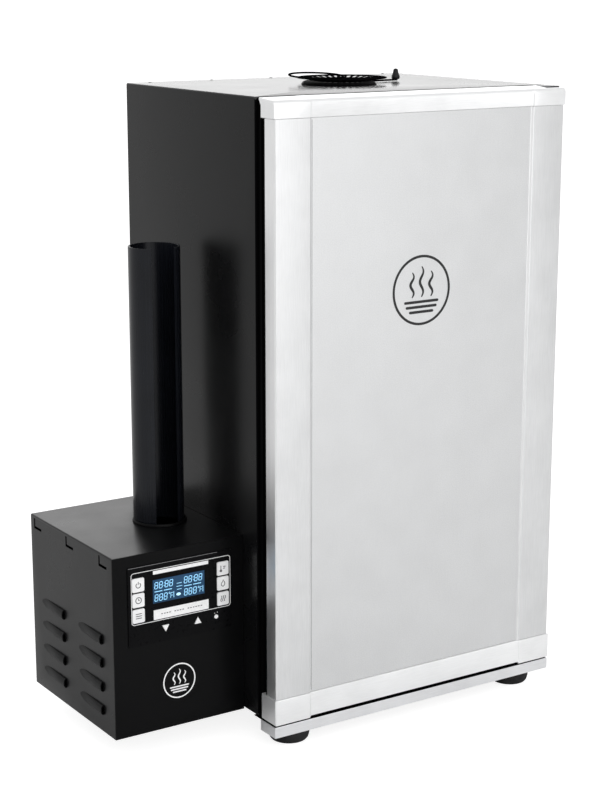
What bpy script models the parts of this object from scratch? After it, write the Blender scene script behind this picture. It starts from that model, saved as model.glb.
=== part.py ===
"""Electric cabinet smoker: an insulated cabinet with a front door, and a smoke generator on its left side.

Design axes, in metres: X runs from the door's left edge to its right edge, Y from the door's front face
to the back, and Z up from the floor. Every piece is modelled there, under one empty that moves the whole
object so that its origin is the centre of its footprint, on the floor.
"""

import math

import bmesh
import bpy
from mathutils import Matrix, Vector

# ---- Driving dimensions ----------------------------------------------------------------------------------
GAP = 0.0003            # clearance between pieces that touch
SHEET = 0.0012          # sheet-metal thickness
THROUGH = 0.004         # how far a cutter runs past the wall it cuts

CABINET_WIDTH = 0.4262
CABINET_TOP = 0.7870
CABINET_BACK = 0.3550
SHELL_FRONT = 0.0420
SHELL_BOTTOM = 0.0360
BASE_BOTTOM = 0.0323
BASE_TOP = 0.0395
SERVICE_TOP = 0.1650
FRAME_FRONT = 0.0350
FRAME_INSET = 0.0040
PANEL_BACK = 0.3537     # outer face of the back panel, just inside the shell's rear edge

CHAMBER_LEFT = 0.0600   # the cooking chamber inside the liner
CHAMBER_RIGHT = 0.3662
CHAMBER_BACK = 0.3250
CHAMBER_BOTTOM = 0.0840
CHAMBER_TOP = 0.7350

FOOT_RADIUS = 0.0240
FOOT_INSET_X = 0.0380
FOOT_FRONT_Y = 0.0315
FOOT_REAR_Y = 0.3180
STRIP_BOTTOM = 0.0180   # the bright strip under the door
STRIP_TOP = 0.0320
STRIP_DEPTH = 0.0378

TRAY_LEVEL = 0.2950     # height of the drip tray's ledge, then of the four racks' ledges
RACK_LEVELS = (0.3600, 0.4550, 0.5500, 0.6450)
RAIL_WIDTH = 0.0090
RACK_FRONT = 0.0560
RACK_BACK = 0.3120
RACK_ROD = 0.0040
RACK_BARS = 13

DOOR_TRIM = 0.0500      # width of the raised strip down each side of the door
DOOR_RECESS = 0.0025    # how far the middle panel lies behind those strips
DOOR_TRIM_DEPTH = 0.0250
DOOR_CORE_BACK = 0.0264
DOOR_LINER_BACK = 0.0279
CAP_OVERHANG = 0.0018   # the end caps wrap round the door by this much
TOP_CAP_BOTTOM = 0.7640
TOP_CAP_TOP = 0.7850
TOP_CAP_DEPTH = 0.0276
BOTTOM_CAP_BOTTOM = 0.0342
BOTTOM_CAP_TOP = 0.0667
BOTTOM_CAP_DEPTH = 0.0316
HINGE_X = 0.4190        # the door's vertical hinge axis
HINGE_Y = 0.0180
HINGE_PIN = 0.0030

VENT_X = 0.2120
VENT_Y = 0.1840
VENT_BORE = 0.0265
VENT_FLANGE = 0.0475
VENT_DISC = 0.0570
VENT_DISC_SHIFT = 0.0045    # the disc is a little eccentric
VENT_DISC_Z = 0.7940
VENT_SLOTS = 20
KNOB_X = 0.3090
KNOB_Y = 0.1960
VENT_PORT = 0.0085      # three round ports through the damper and the web under it
VENT_PORT_REACH = 0.0160
VENT_HUB = 0.0340
RING_X = VENT_X - 0.0005    # the ring's hinge line
RING_RADIUS = 0.0340
RING_WIRE = 0.0012
RING_TILT = math.radians(1.5)

GENERATOR_LEFT = -0.1795
GENERATOR_RIGHT = -0.0005
GENERATOR_FRONT = 0.0746
GENERATOR_BACK = 0.2983
GENERATOR_BOTTOM = 0.0312
GENERATOR_TOP = 0.2577
LOUVRE_HEIGHT = 0.0115
LOUVRE_LENGTH = 0.0680
LOUVRE_PROUD = 0.0035
LOUVRE_COLUMNS = (0.1360, 0.2380)
LOUVRE_ROWS = (0.0595, 0.0893, 0.1200, 0.1495)
HOOK_COLUMNS = (0.1075, 0.1960, 0.2860)

TUBE_X = -0.0556
TUBE_Y = 0.1840
TUBE_OUTER = 0.03175
TUBE_INNER = 0.02930
TUBE_BOTTOM = 0.2520
TUBE_TOP = 0.6030
TUBE_SLOT = math.radians(31)    # half the angle of the tube's open front

ARM_BOTTOM = 0.2120     # the burner arm, which carries the wood pucks into the chamber
ARM_TOP = 0.2240
ARM_WIDTH = 0.0680
ARM_LEFT = -0.1200
ARM_RIGHT = 0.1400
ARM_HOLE_MARGIN = 0.0060
BURNER_X = 0.1040

PANEL_LEFT = -0.1600    # the control panel on the generator's front
PANEL_RIGHT = -0.0180
PANEL_BOTTOM = 0.1440
PANEL_TOP = 0.2430
PANEL_PROUD = 0.0014
BUTTON_PROUD = 0.0008
BUTTON_DEPTH = 0.0030
BUTTON_ROWS = (0.1823, 0.2018, 0.2208)
BUTTON_HEIGHT = 0.0170
BUTTON_WIDTH = 0.0160
LEFT_BUTTON_X = -0.1465
RIGHT_BUTTON_X = -0.0306
ARROW_Z = 0.1607
ARROW_SIZE = 0.0046
DISPLAY = ((-0.1265, 0.1936), (-0.0560, 0.2228))
LED_X = -0.0403
LED_RADIUS = 0.0026

PUSHER_LEFT = -0.1180   # at rest, with the puck in front of it
PUSHER_LENGTH = 0.0240
CRANK_X = -0.1000
CRANK_Y = 0.1600
CRANK_Z = 0.1750
CRANK_RADIUS = 0.0180

INLET_WIDTH = 0.0580
INLET_HEIGHT = 0.0380
CABINET_INLET_X = 0.3300
CABINET_INLET_Z = 0.1200
GENERATOR_INLET_X = -0.1200
GENERATOR_INLET_Z = 0.0700

CIRCLE_STEPS = 20

# Colour, roughness and metallic value of each finish.
BLACK_PAINT = ((0.035, 0.036, 0.040), 0.45, 0.0)
GLOSS_BLACK = ((0.020, 0.021, 0.024), 0.20, 0.0)
BRUSHED_STEEL = ((0.62, 0.63, 0.64), 0.36, 1.0)
BRIGHT_TRIM = ((0.78, 0.79, 0.80), 0.28, 1.0)
LINER_STEEL = ((0.55, 0.55, 0.56), 0.30, 1.0)
CHROME_WIRE = ((0.66, 0.66, 0.67), 0.18, 1.0)
DARK_METAL = ((0.05, 0.05, 0.055), 0.35, 0.8)
RUBBER = ((0.020, 0.020, 0.020), 0.80, 0.0)
FOAM = ((0.68, 0.58, 0.34), 0.90, 0.0)
ENAMEL = ((0.03, 0.03, 0.035), 0.25, 0.0)
WHITE_PRINT = ((0.80, 0.81, 0.83), 0.40, 0.0)
LCD_BLUE = ((0.05, 0.16, 0.32), 0.15, 0.0)
CIRCUIT_GREEN = ((0.03, 0.20, 0.08), 0.50, 0.0)


# ---- Building blocks -------------------------------------------------------------------------------------
def clear_scene():
    for old in list(bpy.data.objects):
        bpy.data.objects.remove(old, do_unlink=True)


def empty(name, location, parent=None):
    marker = bpy.data.objects.new(name, None)
    marker.location = location
    marker.parent = parent
    bpy.context.scene.collection.objects.link(marker)
    return marker


def paint(piece, finish):
    colour, roughness, metallic = finish
    material = bpy.data.materials.new(piece.name)
    material.use_nodes = True
    shader = material.node_tree.nodes["Principled BSDF"]
    shader.inputs["Base Color"].default_value = (*colour, 1.0)
    shader.inputs["Roughness"].default_value = roughness
    shader.inputs["Metallic"].default_value = metallic
    piece.data.materials.append(material)


def add(name, data, finish, axis, smooth=False):
    """Puts a mesh or curve, drawn in design axes, under the empty on its joint's axis."""
    piece = bpy.data.objects.new(name, data)
    bpy.context.scene.collection.objects.link(piece)
    piece.parent = axis
    if axis is not ORIGIN:
        piece.matrix_parent_inverse = Matrix.Translation(-axis.location)
    if smooth:
        data.shade_smooth()
        data.set_sharp_from_angle(angle=math.radians(35))
    if finish is None:
        piece.hide_render = True
        piece.display_type = "WIRE"
    else:
        paint(piece, finish)
    return piece


def to_mesh(name, points, faces):
    mesh = bpy.data.meshes.new(name)
    mesh.from_pydata([tuple(point) for point in points], [], faces)
    working = bmesh.new()
    working.from_mesh(mesh)
    bmesh.ops.recalc_face_normals(working, faces=working.faces)
    working.to_mesh(mesh)
    working.free()
    return mesh


def prism_mesh(name, outline, along, start, end):
    """An outline pushed along one axis; its points are the other two axes' values, in X, Y, Z order."""
    place = {"X": lambda a, b, c: (c, a, b), "Y": lambda a, b, c: (a, c, b), "Z": lambda a, b, c: (a, b, c)}[along]
    count = len(outline)
    points = [place(a, b, start) for a, b in outline] + [place(a, b, end) for a, b in outline]
    faces = [list(range(count)), list(range(count, 2 * count))]
    faces += [[i, (i + 1) % count, (i + 1) % count + count, i + count] for i in range(count)]
    return to_mesh(name, points, faces)


def prism(name, outline, along, start, end, finish, axis, smooth=False):
    return add(name, prism_mesh(name, outline, along, start, end), finish, axis, smooth)


def box(name, low, high, finish, axis):
    outline = [(low[0], low[1]), (high[0], low[1]), (high[0], high[1]), (low[0], high[1])]
    return prism(name, outline, "Z", low[2], high[2], finish, axis)


def arc(centre, radius, start, end, steps):
    turns = [start + (end - start) * i / steps for i in range(steps + 1)]
    return [(centre[0] + radius * math.cos(t), centre[1] + radius * math.sin(t)) for t in turns]


def circle(centre, radius, steps=CIRCLE_STEPS):
    return arc(centre, radius, 0.0, 2 * math.pi * (steps - 1) / steps, steps - 1)


def round_rect(low, high, radius, steps=3):
    corners = ((high[0], low[1], -1, 1, -90), (high[0], high[1], -1, -1, 0),
               (low[0], high[1], 1, -1, 90), (low[0], low[1], 1, 1, 180))
    outline = []
    for x, y, inward_x, inward_y, turn in corners:
        centre = (x + inward_x * radius, y + inward_y * radius)
        outline += arc(centre, radius, math.radians(turn), math.radians(turn + 90), steps)
    return outline


def turned(name, profile, centre, finish, axis, steps=CIRCLE_STEPS):
    """A closed profile of (radius, height) points turned about the vertical line through centre."""
    points = []
    rings = []
    for radius, height in profile:
        around = 1 if radius == 0 else steps
        rings.append([len(points) + i for i in range(around)])
        turns = [2 * math.pi * i / steps for i in range(around)]
        points += [(centre[0] + radius * math.cos(t), centre[1] + radius * math.sin(t), height) for t in turns]
    faces = []
    for lower, upper in zip(rings, rings[1:] + rings[:1]):
        if len(lower) == len(upper) == 1:
            continue
        for i in range(steps):
            j = (i + 1) % steps
            corners = [lower[i % len(lower)], lower[j % len(lower)], upper[j % len(upper)], upper[i % len(upper)]]
            faces.append(list(dict.fromkeys(corners)))
    return add(name, to_mesh(name, points, faces), finish, axis, smooth=True)


def rod(name, points, radius, finish, axis, closed=False):
    data = bpy.data.curves.new(name, "CURVE")
    data.dimensions = "3D"
    data.bevel_depth = radius
    data.bevel_resolution = 1
    data.use_fill_caps = True
    spline = data.splines.new("POLY")
    spline.points.add(len(points) - 1)
    for control, point in zip(spline.points, points):
        control.co = (*point, 1.0)
    spline.use_cyclic_u = closed
    return add(name, data, finish, axis)


def combine(piece, other, operation):
    modifier = piece.modifiers.new(other.name, "BOOLEAN")
    modifier.object = other
    modifier.operation = operation
    modifier.solver = "EXACT"


def cut(piece, *cutters):
    for cutter in cutters:
        combine(piece, cutter, "DIFFERENCE")


def fuse(piece, *others):
    for other in others:
        combine(piece, other, "UNION")


def cut_box(name, low, high, axis):
    return box("cut_" + name, low, high, None, axis)


# ---- Cabinet ---------------------------------------------------------------------------------------------
def arm_hole(name, left, right):
    """The hole through which the burner arm passes, between two X values."""
    low = (left, TUBE_Y - ARM_WIDTH / 2 - ARM_HOLE_MARGIN, ARM_BOTTOM - ARM_HOLE_MARGIN)
    high = (right, TUBE_Y + ARM_WIDTH / 2 + ARM_HOLE_MARGIN, ARM_TOP + 4 * ARM_HOLE_MARGIN)
    return cut_box(name, low, high, ORIGIN)


def vent_hole(name, radius, bottom, top):
    return prism("cut_" + name, circle((VENT_X, VENT_Y), radius), "Z", bottom, top, None, ORIGIN)


def cabinet_shell():
    """One sheet folded over the cabinet: left side, roof and right side."""
    right = CABINET_WIDTH
    inner_right = right - SHEET
    outline = [(0, SHELL_BOTTOM), (0, CABINET_TOP), (right, CABINET_TOP), (right, SHELL_BOTTOM),
               (inner_right, SHELL_BOTTOM), (inner_right, CABINET_TOP - SHEET),
               (SHEET, CABINET_TOP - SHEET), (SHEET, SHELL_BOTTOM)]
    shell = prism("cabinet_shell", outline, "Y", SHELL_FRONT, CABINET_BACK, BLACK_PAINT, ORIGIN)
    cut(shell, arm_hole("shell_arm_hole", -THROUGH, SHEET + THROUGH),
        vent_hole("shell_vent_hole", VENT_BORE + 0.0035, CABINET_TOP - THROUGH, CABINET_TOP + THROUGH))


def inlet_hole(name, centre_x, front, back, centre_z):
    half = INLET_WIDTH / 2 - 0.0055
    tall = INLET_HEIGHT / 2 - 0.0025
    return cut_box(name, (centre_x - half, front, centre_z - tall), (centre_x + half, back, centre_z + tall), ORIGIN)


def back_panel():
    low = (SHEET + GAP, PANEL_BACK - SHEET, SERVICE_TOP + GAP)
    high = (CABINET_WIDTH - SHEET - GAP, PANEL_BACK, CABINET_TOP - SHEET - GAP)
    box("back_panel", low, high, BLACK_PAINT, ORIGIN)


def base_pan():
    """The folded tray that closes the underside; its tall rear flange carries the mains inlet."""
    low = (SHEET + GAP, SHELL_FRONT + GAP, BASE_BOTTOM)
    high = (CABINET_WIDTH - SHEET - GAP, CABINET_BACK - GAP, BASE_TOP)
    pan = box("base_pan", low, high, BLACK_PAINT, ORIGIN)
    flange_front = PANEL_BACK - SHEET
    fuse(pan, box("join_rear_flange", (low[0], flange_front, BASE_TOP - 0.001), (high[0], PANEL_BACK, SERVICE_TOP),
                  None, ORIGIN))
    cut(pan, cut_box("pan_inside", (low[0] + SHEET, low[1] + SHEET, BASE_BOTTOM + SHEET),
                     (high[0] - SHEET, PANEL_BACK - 2 * SHEET, BASE_TOP + THROUGH), ORIGIN),
        inlet_hole("flange_inlet_hole", CABINET_INLET_X, flange_front - THROUGH, PANEL_BACK + THROUGH,
                   CABINET_INLET_Z))


def cabinet_insulation():
    """Mineral wool around the liner, open at the front."""
    wall = SHEET + 0.0005
    low = (wall, SHELL_FRONT + GAP, BASE_TOP + GAP)
    high = (CABINET_WIDTH - wall, PANEL_BACK - SHEET - GAP, CABINET_TOP - wall)
    wool = box("cabinet_insulation", low, high, FOAM, ORIGIN)
    inner_low = (CHAMBER_LEFT - wall, 0.0, CHAMBER_BOTTOM - wall)
    inner_high = (CHAMBER_RIGHT + wall, CHAMBER_BACK + wall, CHAMBER_TOP + wall)
    cut(wool, cut_box("wool_inside", inner_low, inner_high, ORIGIN),
        arm_hole("wool_arm_hole", -THROUGH, CHAMBER_LEFT + THROUGH),
        vent_hole("wool_vent_hole", VENT_BORE + 0.0045, CHAMBER_TOP - THROUGH, CABINET_TOP + THROUGH),
        inlet_hole("wool_inlet_pocket", CABINET_INLET_X, CHAMBER_BACK + 0.006, CABINET_BACK, CABINET_INLET_Z))


def inner_liner():
    low = (CHAMBER_LEFT - SHEET, SHELL_FRONT + GAP, CHAMBER_BOTTOM - SHEET)
    high = (CHAMBER_RIGHT + SHEET, CHAMBER_BACK + SHEET, CHAMBER_TOP + SHEET)
    liner = box("inner_liner", low, high, LINER_STEEL, ORIGIN)
    inside = cut_box("liner_inside", (CHAMBER_LEFT, 0.0, CHAMBER_BOTTOM),
                     (CHAMBER_RIGHT, CHAMBER_BACK, CHAMBER_TOP), ORIGIN)
    cut(liner, inside, arm_hole("liner_arm_hole", low[0] - THROUGH, CHAMBER_LEFT + THROUGH),
        vent_hole("liner_vent_hole", VENT_BORE, CHAMBER_TOP - THROUGH, CHAMBER_TOP + THROUGH))


def front_frame():
    """The flat frame around the chamber's mouth, which the door's gasket meets."""
    low = (FRAME_INSET, FRAME_FRONT, SHELL_BOTTOM)
    high = (CABINET_WIDTH - FRAME_INSET, SHELL_FRONT - GAP, TOP_CAP_TOP)
    frame = box("front_frame", low, high, BLACK_PAINT, ORIGIN)
    cut(frame, cut_box("frame_mouth", (CHAMBER_LEFT, 0.0, CHAMBER_BOTTOM), (CHAMBER_RIGHT, 0.1, CHAMBER_TOP),
                       ORIGIN))


def base_trim():
    """A bright folded strip under the door, with a flange that lies under the base pan."""
    low = (-CAP_OVERHANG, 0.0, STRIP_BOTTOM)
    high = (CABINET_WIDTH + CAP_OVERHANG, STRIP_DEPTH, STRIP_TOP)
    strip = box("base_trim", low, high, BRIGHT_TRIM, ORIGIN)
    inside = cut_box("strip_inside", (low[0] + SHEET, SHEET, 0.0),
                     (high[0] - SHEET, 0.1, STRIP_TOP - SHEET), ORIGIN)
    cut(strip, inside)


def feet():
    top_under_strip = STRIP_TOP - SHEET - GAP
    top_under_pan = BASE_BOTTOM - GAP
    places = {"foot_front_left": (FOOT_INSET_X, FOOT_FRONT_Y, top_under_strip),
              "foot_front_right": (CABINET_WIDTH - FOOT_INSET_X, FOOT_FRONT_Y, top_under_strip),
              "foot_rear_left": (FOOT_INSET_X, FOOT_REAR_Y, top_under_pan),
              "foot_rear_right": (CABINET_WIDTH - FOOT_INSET_X, FOOT_REAR_Y, top_under_pan)}
    tread = FOOT_RADIUS * 0.90
    for name, (x, y, top) in places.items():
        profile = [(0, 0), (tread - 0.003, 0), (tread, 0.003), (FOOT_RADIUS, 0.014), (FOOT_RADIUS, top - 0.002),
                   (FOOT_RADIUS - 0.002, top), (0, top)]
        turned(name, profile, (x, y), RUBBER, ORIGIN)


def rack_rail(name, wall_x, inward):
    """A pressed side rail with a ledge for the drip tray and one for each rack."""
    plate = wall_x + inward * SHEET
    ledge = wall_x + inward * RAIL_WIDTH
    bottom = TRAY_LEVEL - 0.020
    outline = [(wall_x, bottom)]
    outline += [(plate, bottom)]
    for level in (TRAY_LEVEL, *RACK_LEVELS):
        outline += [(plate, level - SHEET), (ledge, level - SHEET), (ledge, level), (plate, level)]
    top = RACK_LEVELS[-1] + 0.030
    outline += [(plate, top), (wall_x, top)]
    prism(name, outline, "Y", RACK_FRONT - 0.006, RACK_BACK + 0.008, LINER_STEEL, ORIGIN)


def smoking_rack(index, level):
    """A wire rack on its ledges: round rods drawn as one flat lattice."""
    left = CHAMBER_LEFT + SHEET + 0.0015
    right = CHAMBER_RIGHT - SHEET - 0.0015
    bottom = level + GAP
    name = f"smoking_rack_{index}"
    outline = round_rect((left, RACK_FRONT), (right, RACK_BACK), 0.008, 2)
    rack = prism(name, outline, "Z", bottom, bottom + RACK_ROD, CHROME_WIRE, ORIGIN)
    pitch = (right - left - RACK_ROD) / RACK_BARS
    middle = (RACK_FRONT + RACK_BACK) / 2
    for bar in range(RACK_BARS):
        slot_left = left + RACK_ROD + bar * pitch
        for half, (front, back) in enumerate(((RACK_FRONT, middle), (middle, RACK_BACK))):
            low = (slot_left, front + RACK_ROD * (1 - half * 0.5), 0.0)
            high = (slot_left + pitch - RACK_ROD, back - RACK_ROD * (0.5 + half * 0.5), 1.0)
            cut(rack, cut_box(f"{name}_{bar}_{half}", low, high, ORIGIN))


def drip_tray():
    """A shallow V of sheet that drains to slots along its middle."""
    left = CHAMBER_LEFT + SHEET + 0.0015
    right = CHAMBER_RIGHT - SHEET - 0.0015
    top = TRAY_LEVEL + GAP + SHEET
    middle = (left + right) / 2
    flange = 0.012
    floor = top - 0.022
    upper = [(left, top), (left + flange, top), (middle - 0.012, floor), (middle + 0.012, floor),
             (right - flange, top), (right, top)]
    lower = [(x, z - SHEET) for x, z in reversed(upper)]
    tray = prism("drip_tray", upper + lower, "Y", RACK_FRONT, RACK_BACK, LINER_STEEL, ORIGIN)
    for slot in range(5):
        front = RACK_FRONT + 0.020 + slot * 0.045
        cut(tray, cut_box(f"tray_slot_{slot}", (middle - 0.008, front, 0.2), (middle + 0.008, front + 0.030, 0.3),
                          ORIGIN))


def water_bowl():
    low = (0.0900, 0.1000, CHAMBER_BOTTOM + GAP)
    high = (0.2700, 0.2700, CHAMBER_BOTTOM + 0.048)
    bowl = prism("water_bowl", round_rect(low, high, 0.018), "Z", low[2], high[2], LINER_STEEL, ORIGIN)
    inner = round_rect((low[0] + 0.002, low[1] + 0.002), (high[0] - 0.002, high[1] - 0.002), 0.016)
    cut(bowl, prism("cut_bowl", inner, "Z", low[2] + 0.002, 0.2, None, ORIGIN))


def heating_element():
    """A bent tubular heater low on the chamber's back wall."""
    left = 0.110
    right = 0.316
    top = 0.200
    bottom = 0.150
    middle = (left + right) / 2
    wall = CHAMBER_BACK - GAP
    front = CHAMBER_BACK - 0.030
    bend = 0.010
    path = [(middle - 0.015, wall, bottom), (middle - 0.015, front + bend, bottom),
            (middle - 0.015 - bend, front, bottom), (left + bend, front, bottom), (left, front, bottom + bend),
            (left, front, top - bend), (left + bend, front, top), (right - bend, front, top),
            (right, front, top - bend), (right, front, bottom + bend), (right - bend, front, bottom),
            (middle + 0.015 + bend, front, bottom), (middle + 0.015, front + bend, bottom),
            (middle + 0.015, wall, bottom)]
    rod("heating_element", path, 0.0033, DARK_METAL, ORIGIN)


def temperature_probe():
    y = CHAMBER_BACK - GAP
    centre = (0.150, 0.335)
    prism("temperature_probe", circle(centre, 0.0025, 10), "Y", y - 0.045, y - 0.005, LINER_STEEL, ORIGIN, True)
    nut = prism("join_probe_nut", circle(centre, 0.0065, 6), "Y", y - 0.0055, y, None, ORIGIN)
    fuse(bpy.data.objects["temperature_probe"], nut)


def vent_ports(name, bottom, top, axis):
    """Cutters for three ports round the vent's axis; a sixth of a turn of the damper closes them."""
    ports = []
    for port in range(3):
        turn = 2 * math.pi * port / 3
        centre = (VENT_X + VENT_PORT_REACH * math.cos(turn), VENT_Y + VENT_PORT_REACH * math.sin(turn))
        ports.append(prism(f"cut_{name}_{port}", circle(centre, VENT_PORT, 12), "Z", bottom, top, None, axis))
    return ports


def vent_collar():
    """The flanged sleeve that lines the roof vent, with a ported web across its top."""
    foot = CABINET_TOP + GAP
    lip = foot + 0.0042
    sleeve = VENT_BORE + 0.002
    sleeve_bottom = CHAMBER_TOP + SHEET + GAP
    profile = [(0, lip), (VENT_FLANGE - 0.003, lip), (VENT_FLANGE, lip - 0.0025), (VENT_FLANGE, foot),
               (sleeve, foot), (sleeve, sleeve_bottom), (VENT_BORE, sleeve_bottom), (VENT_BORE, lip - 0.002),
               (0, lip - 0.002)]
    collar = turned("vent_collar", profile, (VENT_X, VENT_Y), GLOSS_BLACK, ORIGIN, 28)
    cut(collar, *vent_ports("collar_port", lip - 0.01, lip + 0.01, ORIGIN))


def hinge_brackets():
    """A plate and pin above the door, and another below it."""
    left = HINGE_X - 0.013
    right = CABINET_WIDTH
    rear = SHELL_FRONT - GAP
    plates = {"hinge_bracket_top": (TOP_CAP_TOP + GAP, CABINET_TOP - 0.0002, TOP_CAP_TOP - 0.010, TOP_CAP_TOP + 0.001),
              "hinge_bracket_bottom": (STRIP_TOP + GAP, BOTTOM_CAP_BOTTOM - GAP, STRIP_TOP + 0.001, 0.0440)}
    for name, (bottom, top, pin_bottom, pin_top) in plates.items():
        plate = box(name, (left, HINGE_Y - 0.008, bottom), (right, rear, top), DARK_METAL, ORIGIN)
        pin = prism("join_" + name, circle((HINGE_X, HINGE_Y), HINGE_PIN, 16), "Z", pin_bottom, pin_top, None, ORIGIN)
        fuse(plate, pin)


def power_inlet(name, centre_x, centre_z, wall, finish, axis):
    """A three-pole inlet facing the back: a flange on the wall, a body through it and a socket in that."""
    half = INLET_WIDTH / 2
    tall = INLET_HEIGHT / 2
    flange = round_rect((centre_x - half, centre_z - tall), (centre_x + half, centre_z + tall), 0.004, 2)
    inlet = prism(name, flange, "Y", wall + GAP, wall + 0.0012, finish, axis)
    body = box("join_" + name, (centre_x - half + 0.006, wall - 0.020, centre_z - tall + 0.003),
               (centre_x + half - 0.006, wall + 0.0008, centre_z + tall - 0.003), None, axis)
    socket = cut_box(name + "_socket", (centre_x - 0.013, wall - 0.016, centre_z - 0.0085),
                     (centre_x + 0.013, wall + 0.01, centre_z + 0.0085), axis)
    fuse(inlet, body)
    cut(inlet, socket)


# ---- Roof vent: slotted damper disc with its lever, knob and lifting ring --------------------------------
def vent_damper():
    thickness = 0.0020
    centre = (VENT_X + VENT_DISC_SHIFT, VENT_Y)
    top = VENT_DISC_Z + thickness
    lip = CABINET_TOP + GAP + 0.0042 + GAP
    profile = [(0, lip), (VENT_HUB, lip), (VENT_HUB + 0.007, VENT_DISC_Z), (VENT_DISC, VENT_DISC_Z), (VENT_DISC, top),
               (0, top)]
    disc = turned("vent_damper", profile, centre, GLOSS_BLACK, VENT_AXIS, 2 * VENT_SLOTS)
    for slot in range(VENT_SLOTS):
        turn = 2 * math.pi * (slot + 0.5) / VENT_SLOTS
        out = Vector((math.cos(turn), math.sin(turn)))
        side = Vector((-out.y, out.x)) * 0.0022
        middle = Vector(centre)
        corners = [middle + out * reach + side * sign
                   for reach, sign in ((0.044, -1), (0.054, -1), (0.054, 1), (0.044, 1))]
        cut(disc, prism(f"cut_vent_slot_{slot}", [tuple(c) for c in corners], "Z", 0.79, 0.80, None, VENT_AXIS))
    cut(disc, *vent_ports("damper_port", lip - 0.01, lip + 0.01, VENT_AXIS))
    post_top = ring_level() - RING_WIRE - GAP
    post = prism("join_ring_post", circle((RING_X, VENT_Y), 0.0018, 8), "Z", top - 0.001, post_top, None, VENT_AXIS)
    fuse(disc, post)


def ring_level():
    """The height of the ring's middle, whose front edge just clears the damper."""
    return VENT_DISC_Z + 0.0020 + GAP + RING_WIRE + RING_RADIUS * math.sin(RING_TILT)


def vent_lever():
    """A flat arm from under the damper's rim to the knob, just clear of the roof."""
    bottom = CABINET_TOP + 0.0010
    direction = Vector((KNOB_X - VENT_X, KNOB_Y - VENT_Y)).normalized()
    side = Vector((-direction.y, direction.x)) * 0.0030
    start = Vector((VENT_X, VENT_Y)) + direction * (VENT_FLANGE + 0.0005)
    end = Vector((KNOB_X, KNOB_Y)) + direction * 0.004
    outline = [tuple(start - side), tuple(end - side), tuple(end + side), tuple(start + side)]
    lever = prism("vent_lever", outline, "Z", bottom, bottom + 0.0015, DARK_METAL, VENT_AXIS)
    post_centre = tuple(start + direction * 0.0035)
    post = prism("join_lever_post", circle(post_centre, 0.0022, 8), "Z", bottom + 0.0005, VENT_DISC_Z - GAP, None,
                 VENT_AXIS)
    fuse(lever, post)


def vent_knob():
    bottom = CABINET_TOP + 0.0025 + GAP
    profile = [(0, bottom), (0.0042, bottom), (0.0052, bottom + 0.002), (0.0050, bottom + 0.006),
               (0.0033, bottom + 0.010), (0.0022, bottom + 0.013), (0, bottom + 0.0135)]
    turned("vent_knob", profile, (KNOB_X, KNOB_Y), GLOSS_BLACK, VENT_AXIS, 16)


def vent_ring():
    """A wire ring that lies over the damper and lifts about an eye at the damper's middle."""
    centre = Vector((RING_X - RING_RADIUS, VENT_Y, ring_level()))
    steps = 28
    points = []
    for i in range(steps):
        turn = 2 * math.pi * i / steps
        depth = RING_RADIUS * math.sin(turn)
        points.append((centre.x + RING_RADIUS * math.cos(turn), centre.y + depth * math.cos(RING_TILT),
                       centre.z + depth * math.sin(RING_TILT)))
    rod("vent_ring", points, RING_WIRE, CHROME_WIRE, RING_AXIS, closed=True)


# ---- Door ------------------------------------------------------------------------------------------------
def door_skin():
    low = (DOOR_TRIM + GAP, DOOR_RECESS, BOTTOM_CAP_TOP + GAP)
    high = (CABINET_WIDTH - DOOR_TRIM - GAP, DOOR_RECESS + 0.001, TOP_CAP_BOTTOM - GAP)
    box("door_skin", low, high, BRUSHED_STEEL, DOOR_AXIS)


def door_trim(name, edge, inward):
    """A folded strip round one edge of the door: wide front face, side wall and a small lip inside."""
    fold = 0.0020
    wide = DOOR_TRIM
    corner = [(edge + inward * (fold - fold * math.cos(t)), fold - fold * math.sin(t))
              for t in (0, math.pi / 6, math.pi / 3, math.pi / 2)]
    outline = [(edge, DOOR_TRIM_DEPTH)] + corner
    outline += [(edge + inward * wide, 0.0), (edge + inward * wide, DOOR_RECESS - GAP),
                (edge + inward * (wide - SHEET), DOOR_RECESS - GAP), (edge + inward * (wide - SHEET), SHEET),
                (edge + inward * (fold + 0.0005), SHEET), (edge + inward * SHEET, fold + 0.0005),
                (edge + inward * SHEET, DOOR_TRIM_DEPTH)]
    prism(name, outline, "Z", BOTTOM_CAP_TOP + GAP, TOP_CAP_BOTTOM - GAP, BRUSHED_STEEL, DOOR_AXIS)


def door_cap(name, bottom, top, depth, pocket_bottom, pocket_top, bevelled_z):
    """An end cap with a pocket for the door's core, set back between the two side strips."""
    front = -0.0012
    low = Vector((-CAP_OVERHANG, front, bottom))
    high = Vector((CABINET_WIDTH + CAP_OVERHANG, depth, top))
    cap = box(name, low, high, BRIGHT_TRIM, DOOR_AXIS)
    working = bmesh.new()
    working.from_mesh(cap.data)
    edges = [edge for edge in working.edges
             if all(abs(v.co.z - bevelled_z) < 1e-6 for v in edge.verts)
             and (all(abs(v.co.y - front) < 1e-6 for v in edge.verts) or abs(edge.verts[0].co.x - edge.verts[1].co.x) < 1e-6)]
    bmesh.ops.bevel(working, geom=edges, offset=0.0030, segments=2, affect="EDGES")
    working.to_mesh(cap.data)
    working.free()
    middle = cut_box(name + "_middle", (DOOR_TRIM, front - THROUGH, bottom - THROUGH),
                     (CABINET_WIDTH - DOOR_TRIM, 0.0009, top + THROUGH), DOOR_AXIS)
    pocket = cut_box(name + "_pocket", (0.0011, 0.0032, pocket_bottom),
                     (CABINET_WIDTH - 0.0011, DOOR_CORE_BACK + GAP, pocket_top), DOOR_AXIS)
    pin = prism("cut_" + name + "_pin", circle((HINGE_X, HINGE_Y), HINGE_PIN + 0.0005, 16), "Z", bottom - THROUGH,
                top + THROUGH, None, DOOR_AXIS)
    cut(cap, middle, pocket, pin)


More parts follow.
